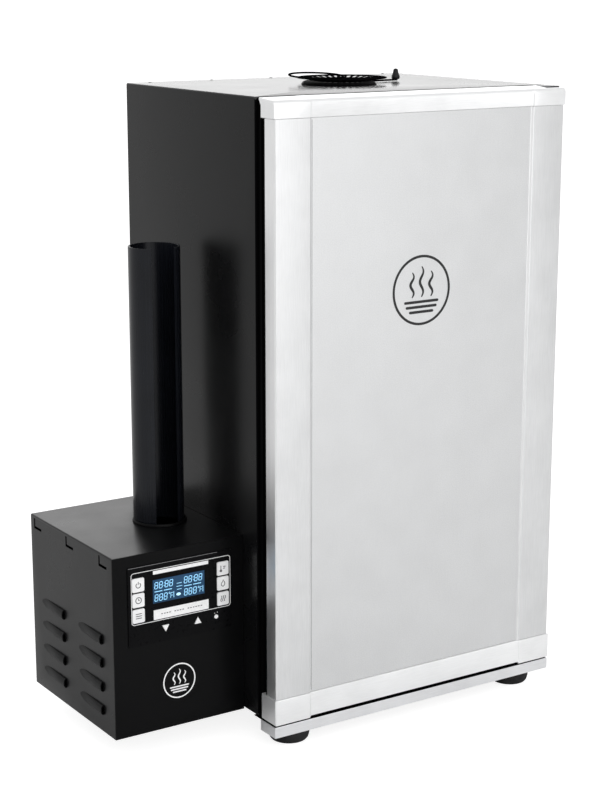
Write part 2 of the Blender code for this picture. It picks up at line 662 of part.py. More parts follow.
def door_core():
    bottom = BOTTOM_CAP_BOTTOM + 0.004
    top = TOP_CAP_TOP - 0.003
    wall = SHEET + 0.0005
    low = (wall, DOOR_RECESS + 0.001 + GAP, bottom)
    high = (CABINET_WIDTH - wall, DOOR_CORE_BACK, top)
    core = box("door_core", low, high, FOAM, DOOR_AXIS)
    for end, (start, stop) in {"top": (top - 0.013, top + THROUGH), "bottom": (bottom - THROUGH, 0.048)}.items():
        cut(core, prism(f"cut_core_pin_{end}", circle((HINGE_X, HINGE_Y), HINGE_PIN + 0.0010, 16), "Z", start, stop,
                        None, DOOR_AXIS))


def door_liner():
    """The inner door panel, with a hollow pressing that stands into the chamber's mouth."""
    low = (0.0080, DOOR_CORE_BACK + GAP, BOTTOM_CAP_TOP + GAP)
    high = (HINGE_X - 0.0010, DOOR_LINER_BACK, TOP_CAP_BOTTOM - GAP)
    margin = 0.012
    rise = 0.006
    left, right = CHAMBER_LEFT + margin, CHAMBER_RIGHT - margin
    bottom, top = CHAMBER_BOTTOM + margin, CHAMBER_TOP - margin
    liner = box("door_liner", low, high, LINER_STEEL, DOOR_AXIS)
    fuse(liner, box("join_liner_pressing", (left, DOOR_LINER_BACK - SHEET / 2, bottom),
                    (right, DOOR_LINER_BACK + rise, top), None, DOOR_AXIS))
    cut(liner, cut_box("liner_pressing", (left + SHEET, 0.0, bottom + SHEET),
                       (right - SHEET, DOOR_LINER_BACK + rise - SHEET, top - SHEET), DOOR_AXIS))


def door_gasket():
    """The silicone seal between the door's liner and the cabinet's front frame."""
    outer_low = (CHAMBER_LEFT - 0.016, CHAMBER_BOTTOM - 0.0125)
    outer_high = (CHAMBER_RIGHT + 0.016, CHAMBER_TOP + 0.014)
    inner_low = (CHAMBER_LEFT - 0.005, CHAMBER_BOTTOM - 0.003)
    inner_high = (CHAMBER_RIGHT + 0.005, CHAMBER_TOP + 0.004)
    gasket = prism("door_gasket", round_rect(outer_low, outer_high, 0.010), "Y", DOOR_LINER_BACK + GAP,
                   FRAME_FRONT - GAP, RUBBER, DOOR_AXIS)
    cut(gasket, prism("cut_gasket", round_rect(inner_low, inner_high, 0.004), "Y", 0.0, 0.1, None, DOOR_AXIS))


# ---- Smoke generator -------------------------------------------------------------------------------------
def louvre(index, y, z):
    """A pressed oval rib in the generator's left side."""
    half = Vector((LOUVRE_LENGTH / 2, LOUVRE_HEIGHT / 2))
    outline = round_rect((y - half.x, z - half.y), (y + half.x, z + half.y), half.y * 0.98, 4)
    face = GENERATOR_LEFT - LOUVRE_PROUD
    rib = prism_mesh(f"join_louvre_{index}", outline, "X", face, GENERATOR_LEFT + SHEET / 2)
    centre = Vector((0, y, z))
    for vertex in rib.vertices:
        if abs(vertex.co.x - face) < 1e-6:
            inward = (centre - vertex.co) * Vector((0, 1, 1))
            vertex.co += inward.normalized() * 0.0025
    return add(rib.name, rib, None, GENERATOR_AXIS)


def hook_slot(index, y):
    """An L-shaped slot: a short upright leg and a foot that runs forward."""
    stroke = 0.0012
    top = GENERATOR_TOP - 0.0035
    foot = GENERATOR_TOP - 0.0150
    outline = [(y - stroke, top), (y + stroke, top), (y + stroke, foot - stroke), (y - 0.0190, foot - stroke),
               (y - 0.0190, foot + stroke), (y - stroke, foot + stroke)]
    return prism(f"cut_hook_slot_{index}", outline, "X", GENERATOR_LEFT - THROUGH, GENERATOR_LEFT + THROUGH, None,
                 GENERATOR_AXIS)


def generator_cover():
    """A folded cover: top, left side and back."""
    front = GENERATOR_FRONT + SHEET + GAP
    low = (GENERATOR_LEFT, front, GENERATOR_BOTTOM)
    high = (GENERATOR_RIGHT, GENERATOR_BACK, GENERATOR_TOP)
    cover = box("generator_cover", low, high, BLACK_PAINT, GENERATOR_AXIS)
    inside = cut_box("cover_inside", (GENERATOR_LEFT + SHEET, 0.0, 0.0),
                     (THROUGH, GENERATOR_BACK - SHEET, GENERATOR_TOP - SHEET), GENERATOR_AXIS)
    mouth = prism("cut_tube_mouth", circle((TUBE_X, TUBE_Y), TUBE_OUTER + GAP, 28), "Z", GENERATOR_TOP - THROUGH,
                  GENERATOR_TOP + THROUGH, None, GENERATOR_AXIS)
    socket = cut_box("cover_inlet_hole",
                     (GENERATOR_INLET_X - INLET_WIDTH / 2 + 0.0055, GENERATOR_BACK - THROUGH,
                      GENERATOR_INLET_Z - INLET_HEIGHT / 2 + 0.0025),
                     (GENERATOR_INLET_X + INLET_WIDTH / 2 - 0.0055, GENERATOR_BACK + THROUGH,
                      GENERATOR_INLET_Z + INLET_HEIGHT / 2 - 0.0025), GENERATOR_AXIS)
    cut(cover, inside, mouth, socket)
    cut(cover, *[hook_slot(index, y) for index, y in enumerate(HOOK_COLUMNS)])
    places = [(y, z) for y in LOUVRE_COLUMNS for z in LOUVRE_ROWS]
    fuse(cover, *[louvre(index, y, z) for index, (y, z) in enumerate(places)])


def generator_chassis():
    """The floor and the right wall, which hangs on the cabinet's side."""
    left = GENERATOR_LEFT + SHEET + GAP
    floor = GENERATOR_BOTTOM + SHEET
    top = GENERATOR_TOP - SHEET - GAP
    outline = [(left, GENERATOR_BOTTOM), (GENERATOR_RIGHT, GENERATOR_BOTTOM), (GENERATOR_RIGHT, top),
               (GENERATOR_RIGHT - SHEET, top), (GENERATOR_RIGHT - SHEET, floor), (left, floor)]
    chassis = prism("generator_chassis", outline, "Y", GENERATOR_FRONT + SHEET + GAP,
                    GENERATOR_BACK - SHEET - GAP, BLACK_PAINT, GENERATOR_AXIS)
    margin = 0.001
    hole = cut_box("chassis_arm_hole",
                   (GENERATOR_RIGHT - THROUGH, TUBE_Y - ARM_WIDTH / 2 - margin, ARM_BOTTOM - margin),
                   (GENERATOR_RIGHT + THROUGH, TUBE_Y + ARM_WIDTH / 2 + margin, ARM_TOP + 0.020), GENERATOR_AXIS)
    cut(chassis, hole)


def generator_front():
    low = (GENERATOR_LEFT, GENERATOR_FRONT, GENERATOR_BOTTOM)
    high = (GENERATOR_RIGHT, GENERATOR_FRONT + SHEET, GENERATOR_TOP)
    face = box("generator_front", low, high, BLACK_PAINT, GENERATOR_AXIS)
    cut(face, cut_box("front_window", (PANEL_LEFT + 0.003, 0.0, PANEL_BOTTOM + 0.008),
                      (PANEL_RIGHT - 0.003, 0.1, PANEL_TOP - 0.004), GENERATOR_AXIS))


def button_outlines():
    """The eight keys' outlines in X and Z: three at each side, and an arrow down and up below the display."""
    outlines = {}
    for side, x in (("left", LEFT_BUTTON_X), ("right", RIGHT_BUTTON_X)):
        for row, z in zip(("lower", "middle", "upper"), BUTTON_ROWS):
            half = (BUTTON_WIDTH / 2, BUTTON_HEIGHT / 2)
            outlines[f"button_{side}_{row}"] = round_rect((x - half[0], z - half[1]), (x + half[0], z + half[1]),
                                                          0.0012, 1)
    for name, x, up in (("down_button", -0.1104, -1), ("up_button", -0.0660, 1)):
        outlines[name] = [(x - ARROW_SIZE, ARROW_Z - up * ARROW_SIZE * 0.75),
                          (x + ARROW_SIZE, ARROW_Z - up * ARROW_SIZE * 0.75), (x, ARROW_Z + up * ARROW_SIZE)]
    return outlines


def grown(outline, margin):
    """The outline with each corner moved out from its middle."""
    middle = Vector((sum(x for x, _ in outline), sum(z for _, z in outline))) / len(outline)
    return [tuple(Vector(point) + (Vector(point) - middle).normalized() * margin) for point in outline]


def control_panel():
    front = GENERATOR_FRONT - PANEL_PROUD
    outline = round_rect((PANEL_LEFT, PANEL_BOTTOM), (PANEL_RIGHT, PANEL_TOP), 0.002, 2)
    panel = prism("control_panel", outline, "Y", front, GENERATOR_FRONT - GAP, GLOSS_BLACK, GENERATOR_AXIS)
    low, high = DISPLAY
    window = [(low[0] - GAP, low[1] - GAP), (high[0] + GAP, low[1] - GAP), (high[0] + GAP, high[1] + GAP),
              (low[0] - GAP, high[1] + GAP)]
    holes = {name: grown(shape, 0.0006) for name, shape in button_outlines().items()}
    holes["window"] = window
    holes["led"] = circle((LED_X, ARROW_Z), LED_RADIUS + GAP, 10)
    for name, shape in holes.items():
        cut(panel, prism("cut_panel_" + name, shape, "Y", 0.0, 0.1, None, GENERATOR_AXIS))


def panel_keys():
    front = GENERATOR_FRONT - PANEL_PROUD - BUTTON_PROUD
    for name, outline in button_outlines().items():
        middle_x = sum(x for x, _ in outline) / len(outline)
        middle_z = sum(z for _, z in outline) / len(outline)
        axis = empty(name + "_axis", (middle_x, front, middle_z), ORIGIN)
        prism(name, outline, "Y", front, front + BUTTON_DEPTH, WHITE_PRINT, axis)


def display():
    low, high = DISPLAY
    front = GENERATOR_FRONT - PANEL_PROUD
    box("display", (low[0], front + 0.0002, low[1]), (high[0], front + 0.004, high[1]), LCD_BLUE, GENERATOR_AXIS)


def status_led():
    front = GENERATOR_FRONT - PANEL_PROUD
    prism("status_led", circle((LED_X, ARROW_Z), LED_RADIUS, 10), "Y", front - 0.0006, front + 0.004, WHITE_PRINT,
          GENERATOR_AXIS)


def circuit_board():
    low = (PANEL_LEFT - 0.002, GENERATOR_FRONT + 0.0060, PANEL_BOTTOM - 0.004)
    high = (PANEL_RIGHT + 0.002, GENERATOR_FRONT + 0.0076, PANEL_TOP + 0.004)
    box("circuit_board", low, high, CIRCUIT_GREEN, GENERATOR_AXIS)


def feeder_tube():
    """A C-shaped extrusion that holds the stack of wood pucks; its open side faces front, with thick lips."""
    centre = (TUBE_X, TUBE_Y)
    front = -math.pi / 2
    lip = 0.0030
    steps = 26
    outer = arc(centre, TUBE_OUTER, front + TUBE_SLOT, front + 2 * math.pi - TUBE_SLOT, steps)
    inner = arc(centre, TUBE_INNER, front + 2 * math.pi - TUBE_SLOT - 0.05, front + TUBE_SLOT + 0.05, steps)
    left_lip = [(outer[-1][0] + 0.0002, outer[-1][1] + 0.0002), (inner[0][0] - 0.0002, inner[0][1] + lip)]
    right_lip = [(inner[-1][0] + 0.0002, inner[-1][1] + lip), (outer[0][0] - 0.0002, outer[0][1] + 0.0002)]
    outline = outer[:-1] + left_lip + inner[1:-1] + right_lip
    prism("feeder_tube", outline[:-1], "Z", TUBE_BOTTOM, TUBE_TOP, GLOSS_BLACK, TUBE_AXIS, True)


def tube_collar():
    foot = GENERATOR_TOP + GAP
    inner = TUBE_OUTER + GAP
    profile = [(inner, foot), (inner, foot + 0.0035), (inner + 0.0012, foot + 0.0035), (inner + 0.0020, foot + 0.0020),
               (inner + 0.0020, foot)]
    turned("tube_collar", profile, (TUBE_X, TUBE_Y), GLOSS_BLACK, GENERATOR_AXIS, 28)


def burner_arm():
    """The channel that carries pucks from under the tube to the burner inside the chamber."""
    half = ARM_WIDTH / 2
    wall = 0.0020
    outline = [(TUBE_Y - half, ARM_BOTTOM), (TUBE_Y + half, ARM_BOTTOM), (TUBE_Y + half, ARM_TOP),
               (TUBE_Y + half - wall, ARM_TOP), (TUBE_Y + half - wall, ARM_BOTTOM + wall),
               (TUBE_Y - half + wall, ARM_BOTTOM + wall), (TUBE_Y - half + wall, ARM_TOP), (TUBE_Y - half, ARM_TOP)]
    prism("burner_arm", outline, "X", ARM_LEFT, ARM_RIGHT, LINER_STEEL, GENERATOR_AXIS)


def smoke_burner():
    bottom = ARM_BOTTOM + 0.0020 + GAP
    profile = [(0, bottom), (0.029, bottom), (0.029, bottom + 0.004), (0.027, bottom + 0.005), (0, bottom + 0.005)]
    turned("smoke_burner", profile, (BURNER_X, TUBE_Y), DARK_METAL, GENERATOR_AXIS, 24)


def puck_pusher():
    half = ARM_WIDTH / 2 - 0.0026
    bottom = ARM_BOTTOM + 0.0020 + GAP
    low = (PUSHER_LEFT, TUBE_Y - half, bottom)
    high = (PUSHER_LEFT + PUSHER_LENGTH, TUBE_Y + half, bottom + 0.022)
    pusher = box("puck_pusher", low, high, DARK_METAL, PUSHER_AXIS)
    hollow = prism("cut_pusher_face", circle((high[0] + 0.018, TUBE_Y), 0.0290, 24), "Z", bottom - THROUGH, 0.3, None,
                   PUSHER_AXIS)
    cut(pusher, hollow)


def feed_motor():
    """The geared motor under the arm, with the boss that carries its crank."""
    low = (CRANK_X - 0.024, CRANK_Y + 0.008, CRANK_Z - 0.030)
    high = (CRANK_X + 0.024, CRANK_Y + 0.055, CRANK_Z + 0.022)
    box("feed_motor", low, high, LINER_STEEL, GENERATOR_AXIS)


def motor_crank():
    disc = prism("motor_crank", circle((CRANK_X, CRANK_Z), CRANK_RADIUS, 20), "Y", CRANK_Y, CRANK_Y + 0.004, DARK_METAL,
                 CRANK_AXIS, True)
    boss = prism("join_crank_boss", circle((CRANK_X, CRANK_Z), 0.006, 12), "Y", CRANK_Y + 0.003, CRANK_Y + 0.0077,
                 None, CRANK_AXIS)
    pin = prism("join_crank_pin", circle((CRANK_X + CRANK_RADIUS * 0.7, CRANK_Z), 0.0025, 10), "Y", CRANK_Y - 0.009,
                CRANK_Y + 0.001, None, CRANK_AXIS)
    fuse(disc, boss, pin)


# ---- Assembly --------------------------------------------------------------------------------------------
# The footprint runs from the louvres to the caps' right ends, and from the caps' front to the shell's back.
HALF_WIDTH_AT = (GENERATOR_LEFT - LOUVRE_PROUD + CABINET_WIDTH + CAP_OVERHANG) / 2
HALF_DEPTH_AT = (-0.0012 + CABINET_BACK) / 2

clear_scene()
ORIGIN = empty("smoker_origin", (-HALF_WIDTH_AT, -HALF_DEPTH_AT, 0.0))
DOOR_AXIS = empty("door_axis", (HINGE_X, HINGE_Y, 0.0), ORIGIN)
VENT_AXIS = empty("vent_axis", (VENT_X, VENT_Y, CABINET_TOP), ORIGIN)
RING_AXIS = empty("ring_axis", (RING_X, VENT_Y, ring_level()), ORIGIN)
GENERATOR_AXIS = empty("generator_axis", (GENERATOR_RIGHT, TUBE_Y, GENERATOR_BOTTOM), ORIGIN)
TUBE_AXIS = empty("tube_axis", (TUBE_X, TUBE_Y, TUBE_BOTTOM), ORIGIN)
PUSHER_AXIS = empty("pusher_axis", (PUSHER_LEFT, TUBE_Y, ARM_BOTTOM), ORIGIN)
CRANK_AXIS = empty("crank_axis", (CRANK_X, CRANK_Y, CRANK_Z), ORIGIN)

cabinet_shell()
back_panel()
base_pan()
cabinet_insulation()
inner_liner()
front_frame()
base_trim()
feet()
rack_rail("rack_rail_left", CHAMBER_LEFT + GAP, 1)
rack_rail("rack_rail_right", CHAMBER_RIGHT - GAP, -1)
for number, height in enumerate(RACK_LEVELS, start=1):
    smoking_rack(number, height)
drip_tray()
water_bowl()
heating_element()
temperature_probe()
vent_collar()
hinge_brackets()
power_inlet("cabinet_power_inlet", CABINET_INLET_X, CABINET_INLET_Z, PANEL_BACK, GLOSS_BLACK, ORIGIN)

vent_damper()
vent_lever()
vent_knob()
vent_ring()

door_skin()
door_trim("door_trim_left", 0.0, 1)
door_trim("door_trim_right", CABINET_WIDTH, -1)
door_cap("door_top_cap", TOP_CAP_BOTTOM, TOP_CAP_TOP, TOP_CAP_DEPTH, 0.70, TOP_CAP_TOP - 0.0022, TOP_CAP_TOP)
door_cap("door_bottom_cap", BOTTOM_CAP_BOTTOM, BOTTOM_CAP_TOP, BOTTOM_CAP_DEPTH, BOTTOM_CAP_BOTTOM + 0.0025, 0.10,
         BOTTOM_CAP_BOTTOM)
door_core()
door_liner()
door_gasket()

generator_cover()
generator_chassis()
generator_front()
control_panel()
panel_keys()
display()
status_led()
circuit_board()
feeder_tube()
tube_collar()
burner_arm()
smoke_burner()
puck_pusher()
feed_motor()
motor_crank()
power_inlet("generator_power_inlet", GENERATOR_INLET_X, GENERATOR_INLET_Z, GENERATOR_BACK, GLOSS_BLACK,
            GENERATOR_AXIS)
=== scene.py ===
"""Looks of the electric cabinet smoker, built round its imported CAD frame.

All geometry is in the frame's own axes, in metres: X right, Y back, Z up, the door facing -Y. Pieces are
placed from the boxes of the CAD nodes that they cover or sit on.
"""

import math

import bmesh
import bpy
from mathutils import Matrix, Vector


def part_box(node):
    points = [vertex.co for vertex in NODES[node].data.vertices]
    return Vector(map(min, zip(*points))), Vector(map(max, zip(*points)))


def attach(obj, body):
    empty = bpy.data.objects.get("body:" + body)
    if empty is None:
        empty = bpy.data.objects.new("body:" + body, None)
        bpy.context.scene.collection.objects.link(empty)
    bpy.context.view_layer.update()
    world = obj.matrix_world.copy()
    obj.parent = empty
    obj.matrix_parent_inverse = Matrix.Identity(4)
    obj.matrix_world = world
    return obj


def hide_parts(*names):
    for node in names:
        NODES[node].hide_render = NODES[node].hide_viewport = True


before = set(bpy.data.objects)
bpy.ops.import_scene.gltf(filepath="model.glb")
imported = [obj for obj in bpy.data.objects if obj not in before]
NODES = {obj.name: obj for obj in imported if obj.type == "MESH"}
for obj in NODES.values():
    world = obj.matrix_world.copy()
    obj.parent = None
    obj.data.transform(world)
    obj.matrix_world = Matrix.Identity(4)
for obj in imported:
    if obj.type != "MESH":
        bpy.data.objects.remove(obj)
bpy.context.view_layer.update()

# ---- Places read from the frame --------------------------------------------------------------------------
SHELL_LOW, SHELL_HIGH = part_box("cabinet_shell")
DOOR_LOW, DOOR_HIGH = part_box("door_trim_left")
LEFT = SHELL_LOW.x              # the cabinet's left side
RIGHT = SHELL_HIGH.x
FRONT = DOOR_LOW.y              # the front of the door's side strips
ROOF = SHELL_HIGH.z
SIDE_STRIP = DOOR_HIGH.x - DOOR_LOW.x
HOME = Vector((LEFT, FRONT, 0.0))       # the door's lower left front corner, on the floor: pieces are drawn from it

# ---- Sizes that several pieces share ---------------------------------------------------------------------
DOOR_WIDTH = RIGHT - LEFT
STEP = 0.0025           # how far the door's middle lies behind its side strips
SHEET = 0.0012          # the gauge that folded sheet is drawn with
FRONT_SHADE_BAND = 0.0052      # the black band down each side, beside the door: a dull copy of the paint, painted shade at the cabinet's front edge
ROOF_FOLD = 0.003       # faces nearer to the roof's level than this take the roof's paint, a lighter, glossier copy that paints a sheen on the roof
NUT_SIDES = 6
VENT_SLOTS = 36
PORT_CIRCLE = 0.016     # three ports lie on a circle of this radius about the vent's hub
PORT_RADIUS = 0.0085
LOUVRE_COLUMNS = (0.1360, 0.2380)
LOUVRE_ROWS = (0.0595, 0.0893, 0.1200, 0.1495)
HANGER_SLOTS = (0.1075, 0.1960, 0.2860)
FIGURE_STEP = 0.0062    # from one figure of the display to the next
FIGURE_WIDE = 0.0040
FIGURE_TALL = 0.0078
NO_SIZE = 0.000002      # an edge or face thinner than this is a leftover of a cut
SAME_LEVEL = 1e-7       # points nearer in height than this lie at one level
NEAR = 1e-6             # points nearer to a face's plane than this lie in it

# ---- Mesh building blocks --------------------------------------------------------------------------------
PLACE = {"X": lambda a, b, c: Vector((c, a, b)), "Y": lambda a, b, c: Vector((a, c, b)),
         "Z": lambda a, b, c: Vector((a, b, c))}


def arc(centre, radius, start, end, steps):
    turns = [math.radians(start + (end - start) * i / steps) for i in range(steps + 1)]
    return [(centre[0] + radius * math.cos(t), centre[1] + radius * math.sin(t)) for t in turns]


def circle(centre, radius, steps=32):
    return arc(centre, radius, 0, 360 - 360 / steps, steps - 1)


def round_rect(low, high, radius, steps=5):
    x0, y0 = low
    x1, y1 = high
    r = radius
    return (arc((x1 - r, y0 + r), r, -90, 0, steps) + arc((x1 - r, y1 - r), r, 0, 90, steps)
            + arc((x0 + r, y1 - r), r, 90, 180, steps) + arc((x0 + r, y0 + r), r, 180, 270, steps))


def loft(sections, cap=True, closed=False):
    """Joins loops of equally many points; cap closes the two ends."""
    bm = bmesh.new()
    rings = [[bm.verts.new(point) for point in section] for section in sections]
    pairs = list(zip(rings, rings[1:])) + ([(rings[-1], rings[0])] if closed else [])
    count = len(rings[0])
    for first, second in pairs:
        for i in range(count):
            j = (i + 1) % count
            bm.faces.new((first[i], first[j], second[j], second[i]))
    if cap and not closed:
        bm.faces.new(rings[0])
        bm.faces.new(rings[-1])
    bmesh.ops.recalc_face_normals(bm, faces=bm.faces)
    return bm


def prism(outline, along, start, end):
    place = PLACE[along]
    return loft([[place(a, b, start) for a, b in outline], [place(a, b, end) for a, b in outline]])


def block(low, high, bevel=0.0, segments=2):
    outline = [(low[0], low[1]), (high[0], low[1]), (high[0], high[1]), (low[0], high[1])]
    bm = prism(outline, "Z", low[2], high[2])
    if bevel:
        bmesh.ops.bevel(bm, geom=list(bm.edges), offset=bevel, segments=segments, profile=0.5, affect="EDGES")
    return bm


def turned(profile, centre, steps=48, along="Z"):
    """A profile of (radius, height) points, ends on the axis or closed on itself, turned about an axis."""
    place = PLACE[along]
    bm = bmesh.new()
    rings = []
    for radius, height in profile:
        count = 1 if radius < 1e-7 else steps
        angles = [2 * math.pi * i / steps for i in range(count)]
        rings.append([bm.verts.new(Vector(centre) + place(radius * math.cos(t), radius * math.sin(t), height))
                      for t in angles])
    loops = list(zip(rings, rings[1:]))
    if len(rings[0]) > 1 and len(rings[-1]) > 1:
        loops.append((rings[-1], rings[0]))
    for first, second in loops:
        for i in range(steps):
            j = (i + 1) % steps
            corners = [first[i % len(first)], first[j % len(first)], second[j % len(second)], second[i % len(second)]]
            face = list(dict.fromkeys(corners))
            if len(face) > 2:
                bm.faces.new(face)
    bmesh.ops.recalc_face_normals(bm, faces=bm.faces)
    return bm


def rod(points, radius, sides=10, closed=False):
    """A round bar along a path, its rings turned with the path so that it never twists."""
    points = [Vector(p) for p in points]
    count = len(points)
    sections = []
    up = None
    for i, point in enumerate(points):
        before = points[i - 1] if i or closed else point
        after = points[(i + 1) % count] if i < count - 1 or closed else point
        ahead = (after - before).normalized()
        if up is None:
            up = Vector((0, 0, 1)) if abs(ahead.z) < 0.9 else Vector((1, 0, 0))
        side = ahead.cross(up).normalized()
        up = side.cross(ahead).normalized()
        angles = [2 * math.pi * k / sides for k in range(sides)]
        sections.append([point + side * radius * math.cos(t) + up * radius * math.sin(t) for t in angles])
    return loft(sections, closed=closed)


def smooth_path(points, rounds=3, closed=False):
    """Cuts the corners of a path again and again, which leaves a smooth curve."""
    points = [Vector(p) for p in points]
    for _ in range(rounds):
        pairs = list(zip(points, points[1:])) + ([(points[-1], points[0])] if closed else [])
        cut = []
        for a, b in pairs:
            cut += [a.lerp(b, 0.25), a.lerp(b, 0.75)]
        points = cut if closed else [points[0]] + cut + [points[-1]]
    return points


def merged(*parts):
    """One bmesh holding every part."""
    whole = bmesh.new()
    for part in parts:
        mesh = bpy.data.meshes.new("part")
        part.to_mesh(mesh)
        part.free()
        whole.from_mesh(mesh)
        bpy.data.meshes.remove(mesh)
    return whole


def local(name):
    """The box of a CAD node, measured from HOME."""
    low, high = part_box(name)
    return low - HOME, high - HOME


def plan_centre(low, high):
    """The middle of a box seen from above."""
    return (low.x + high.x) / 2, (low.y + high.y) / 2


def front_centre(low, high):
    """The middle of a box seen from the front."""
    return (low.x + high.x) / 2, (low.z + high.z) / 2


def piece(name, bm, material, body, replaces=(), sharp=35.0):
    """Makes an object of a shape drawn from HOME, with a material's key, on one of the frame's bodies."""
    bmesh.ops.translate(bm, vec=HOME, verts=bm.verts)
    mesh = bpy.data.meshes.new(name)
    bm.to_mesh(mesh)
    bm.free()
    mesh.materials.append(MATERIALS[material])
    mesh.shade_smooth()
    mesh.set_sharp_from_angle(angle=math.radians(sharp))
    obj = bpy.data.objects.new(name, mesh)
    bpy.context.scene.collection.objects.link(obj)
    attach(obj, body)
    if replaces:
        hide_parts(*replaces)
    return obj


def carved(bm, cutters, operation="DIFFERENCE"):
    """The shape with each cutter taken away from it, or joined to it for UNION, as a new bmesh."""
    scene = bpy.context.scene
    objects = []
    for shape in [bm, *cutters]:
        mesh = bpy.data.meshes.new("carving")
        shape.to_mesh(mesh)
        shape.free()
        obj = bpy.data.objects.new("carving", mesh)
        scene.collection.objects.link(obj)
        objects.append(obj)
    target = objects[0]
    for cutter in objects[1:]:
        modifier = target.modifiers.new("cut", "BOOLEAN")
        modifier.object = cutter
        modifier.operation = operation
        modifier.solver = "EXACT"
    graph = bpy.context.evaluated_depsgraph_get()
    result = bmesh.new()
    result.from_mesh(target.evaluated_get(graph).to_mesh())
    for obj in objects:
        bpy.data.objects.remove(obj, do_unlink=True)
    bmesh.ops.dissolve_limit(result, angle_limit=math.radians(0.2), verts=result.verts, edges=result.edges)
    if operation == "DIFFERENCE":
        bmesh.ops.triangulate(result, faces=[face for face in result.faces if len(face.verts) > 4])
        bmesh.ops.dissolve_degenerate(result, dist=NO_SIZE, edges=result.edges)
    return result


def soften(obj, width, segments=2, angle=30):
    """Rounds the sharp edges of an object."""
    modifier = obj.modifiers.new("soft_edges", "BEVEL")
    modifier.width = width
    modifier.segments = segments
    modifier.limit_method = "ANGLE"
    modifier.angle_limit = math.radians(angle)
    modifier.use_clamp_overlap = True
    modifier.harden_normals = False


# ---- Materials -------------------------------------------------------------------------------------------
class Surface:
    """A Principled material whose grain, wear and relief come from noise in the object's own coordinates."""

    def __init__(self, name, colour, roughness, metallic=0.0, **sockets):
        self.material = bpy.data.materials.new(name)
        self.material.use_nodes = True
        self.tree = self.material.node_tree
        self.shader = self.tree.nodes["Principled BSDF"]
        self.shader.inputs["Base Color"].default_value = (*colour, 1.0)
        self.shader.inputs["Roughness"].default_value = roughness
        self.shader.inputs["Metallic"].default_value = metallic
        for socket, value in sockets.items():
            self.shader.inputs[socket.replace("_", " ")].default_value = value
        self.colour = colour
        self.roughness = roughness
        self.coordinates = self.tree.nodes.new("ShaderNodeTexCoord").outputs["Object"]
        self.height = None

    def node(self, kind, inputs=(), **settings):
        made = self.tree.nodes.new(kind)
        for key, value in settings.items():
            setattr(made, key, value)
        for key, value in dict(inputs).items():
            if isinstance(value, bpy.types.NodeSocket):
                self.tree.links.new(value, made.inputs[key])
            else:
                made.inputs[key].default_value = value
        return made

    def noise(self, scale, stretch=(1, 1, 1), detail=3.0, roughness=0.55):
        mapped = self.node("ShaderNodeMapping", {"Vector": self.coordinates, "Scale": stretch})
        return self.node("ShaderNodeTexNoise", {"Vector": mapped.outputs[0], "Scale": scale, "Detail": detail,
                                                "Roughness": roughness}).outputs["Fac"]

    def cells(self, scale, stretch=(1, 1, 1)):
        mapped = self.node("ShaderNodeMapping", {"Vector": self.coordinates, "Scale": stretch})
        return self.node("ShaderNodeTexVoronoi", {"Vector": mapped.outputs[0], "Scale": scale}).outputs["Distance"]

    def ranged(self, value, low, high, out_low, out_high):
        return self.node("ShaderNodeMapRange", {"Value": value, "From Min": low, "From Max": high, "To Min": out_low,
                                                "To Max": out_high}).outputs["Result"]

    def math(self, operation, first, second):
        return self.node("ShaderNodeMath", {0: first, 1: second}, operation=operation).outputs[0]

    def blend(self, first, share, second, other_share):
        """The sum of two values, each taken in its share."""
        return self.math("ADD", self.math("MULTIPLY", first, share), self.math("MULTIPLY", second, other_share))

    def vary_colour(self, value, dark, light, low=0.3, high=0.7):
        """Runs the base colour from dark to light shares of itself with a noise value."""
        ramp = self.node("ShaderNodeValToRGB", {"Fac": self.ranged(value, low, high, 0.0, 1.0)})
        ramp.color_ramp.elements[0].color = (*[c * dark for c in self.colour], 1.0)
        ramp.color_ramp.elements[1].color = (*[min(1.0, c * light) for c in self.colour], 1.0)
        self.tree.links.new(ramp.outputs["Color"], self.shader.inputs["Base Color"])
        return self

    def vary_roughness(self, value, spread, low=0.3, high=0.7):
        result = self.ranged(value, low, high, max(0.02, self.roughness - spread), self.roughness + spread)
        self.tree.links.new(result, self.shader.inputs["Roughness"])
        return self

    def relief(self, value, distance, strength=1.0):
        """Adds a bump of the given depth in metres."""
        inputs = {"Height": value, "Distance": distance, "Strength": strength}
        if self.height is not None:
            inputs["Normal"] = self.height
        self.height = self.node("ShaderNodeBump", inputs).outputs["Normal"]
        self.tree.links.new(self.height, self.shader.inputs["Normal"])
        return self


def pebbled_steel():
    """The door's skin: fine mottled grain, soft sheen."""
    s = Surface("pebbled_steel", (0.74, 0.745, 0.75), 0.42, 1.0)
    grain = s.noise(900, detail=2.0)
    cloud = s.noise(22, detail=4.0)
    streak = s.noise(160, stretch=(6.0, 6.0, 0.5), detail=3.0)
    mottle = s.math("ADD", s.math("MULTIPLY", grain, 0.70), s.blend(cloud, 0.20, streak, 0.10))
    s.vary_colour(mottle, 0.93, 1.04, 0.38, 0.62)
    s.vary_roughness(cloud, 0.03)
    s.relief(grain, 0.00002, 0.6)
    return s.material


def strip_steel(name="strip_steel", colour=(0.78, 0.785, 0.79)):
    """The door's side strips: brushed along their length."""
    s = Surface(name, colour, 0.38, 1.0)
    streak = s.noise(420, stretch=(5.0, 5.0, 0.12), detail=4.0)
    cloud = s.noise(18, detail=3.0)
    s.vary_colour(s.blend(streak, 0.6, cloud, 0.4), 0.94, 1.04, 0.38, 0.62)
    s.vary_roughness(streak, 0.06)
    s.relief(streak, 0.00002, 0.5)
    return s.material


def cap_metal(name="cap_metal", colour=(0.96, 0.965, 0.97), metallic=0.7):
    """Satin bright caps and base strip, brushed from side to side."""
    s = Surface(name, colour, 0.34, metallic)
    streak = s.noise(420, stretch=(0.12, 5.0, 5.0), detail=4.0)
    cloud = s.noise(30, detail=3.0)
    s.vary_colour(s.blend(streak, 0.6, cloud, 0.4), 0.95, 1.03, 0.38, 0.62)
    s.vary_roughness(cloud, 0.05)
    s.relief(streak, 0.00001, 0.3)
    return s.material


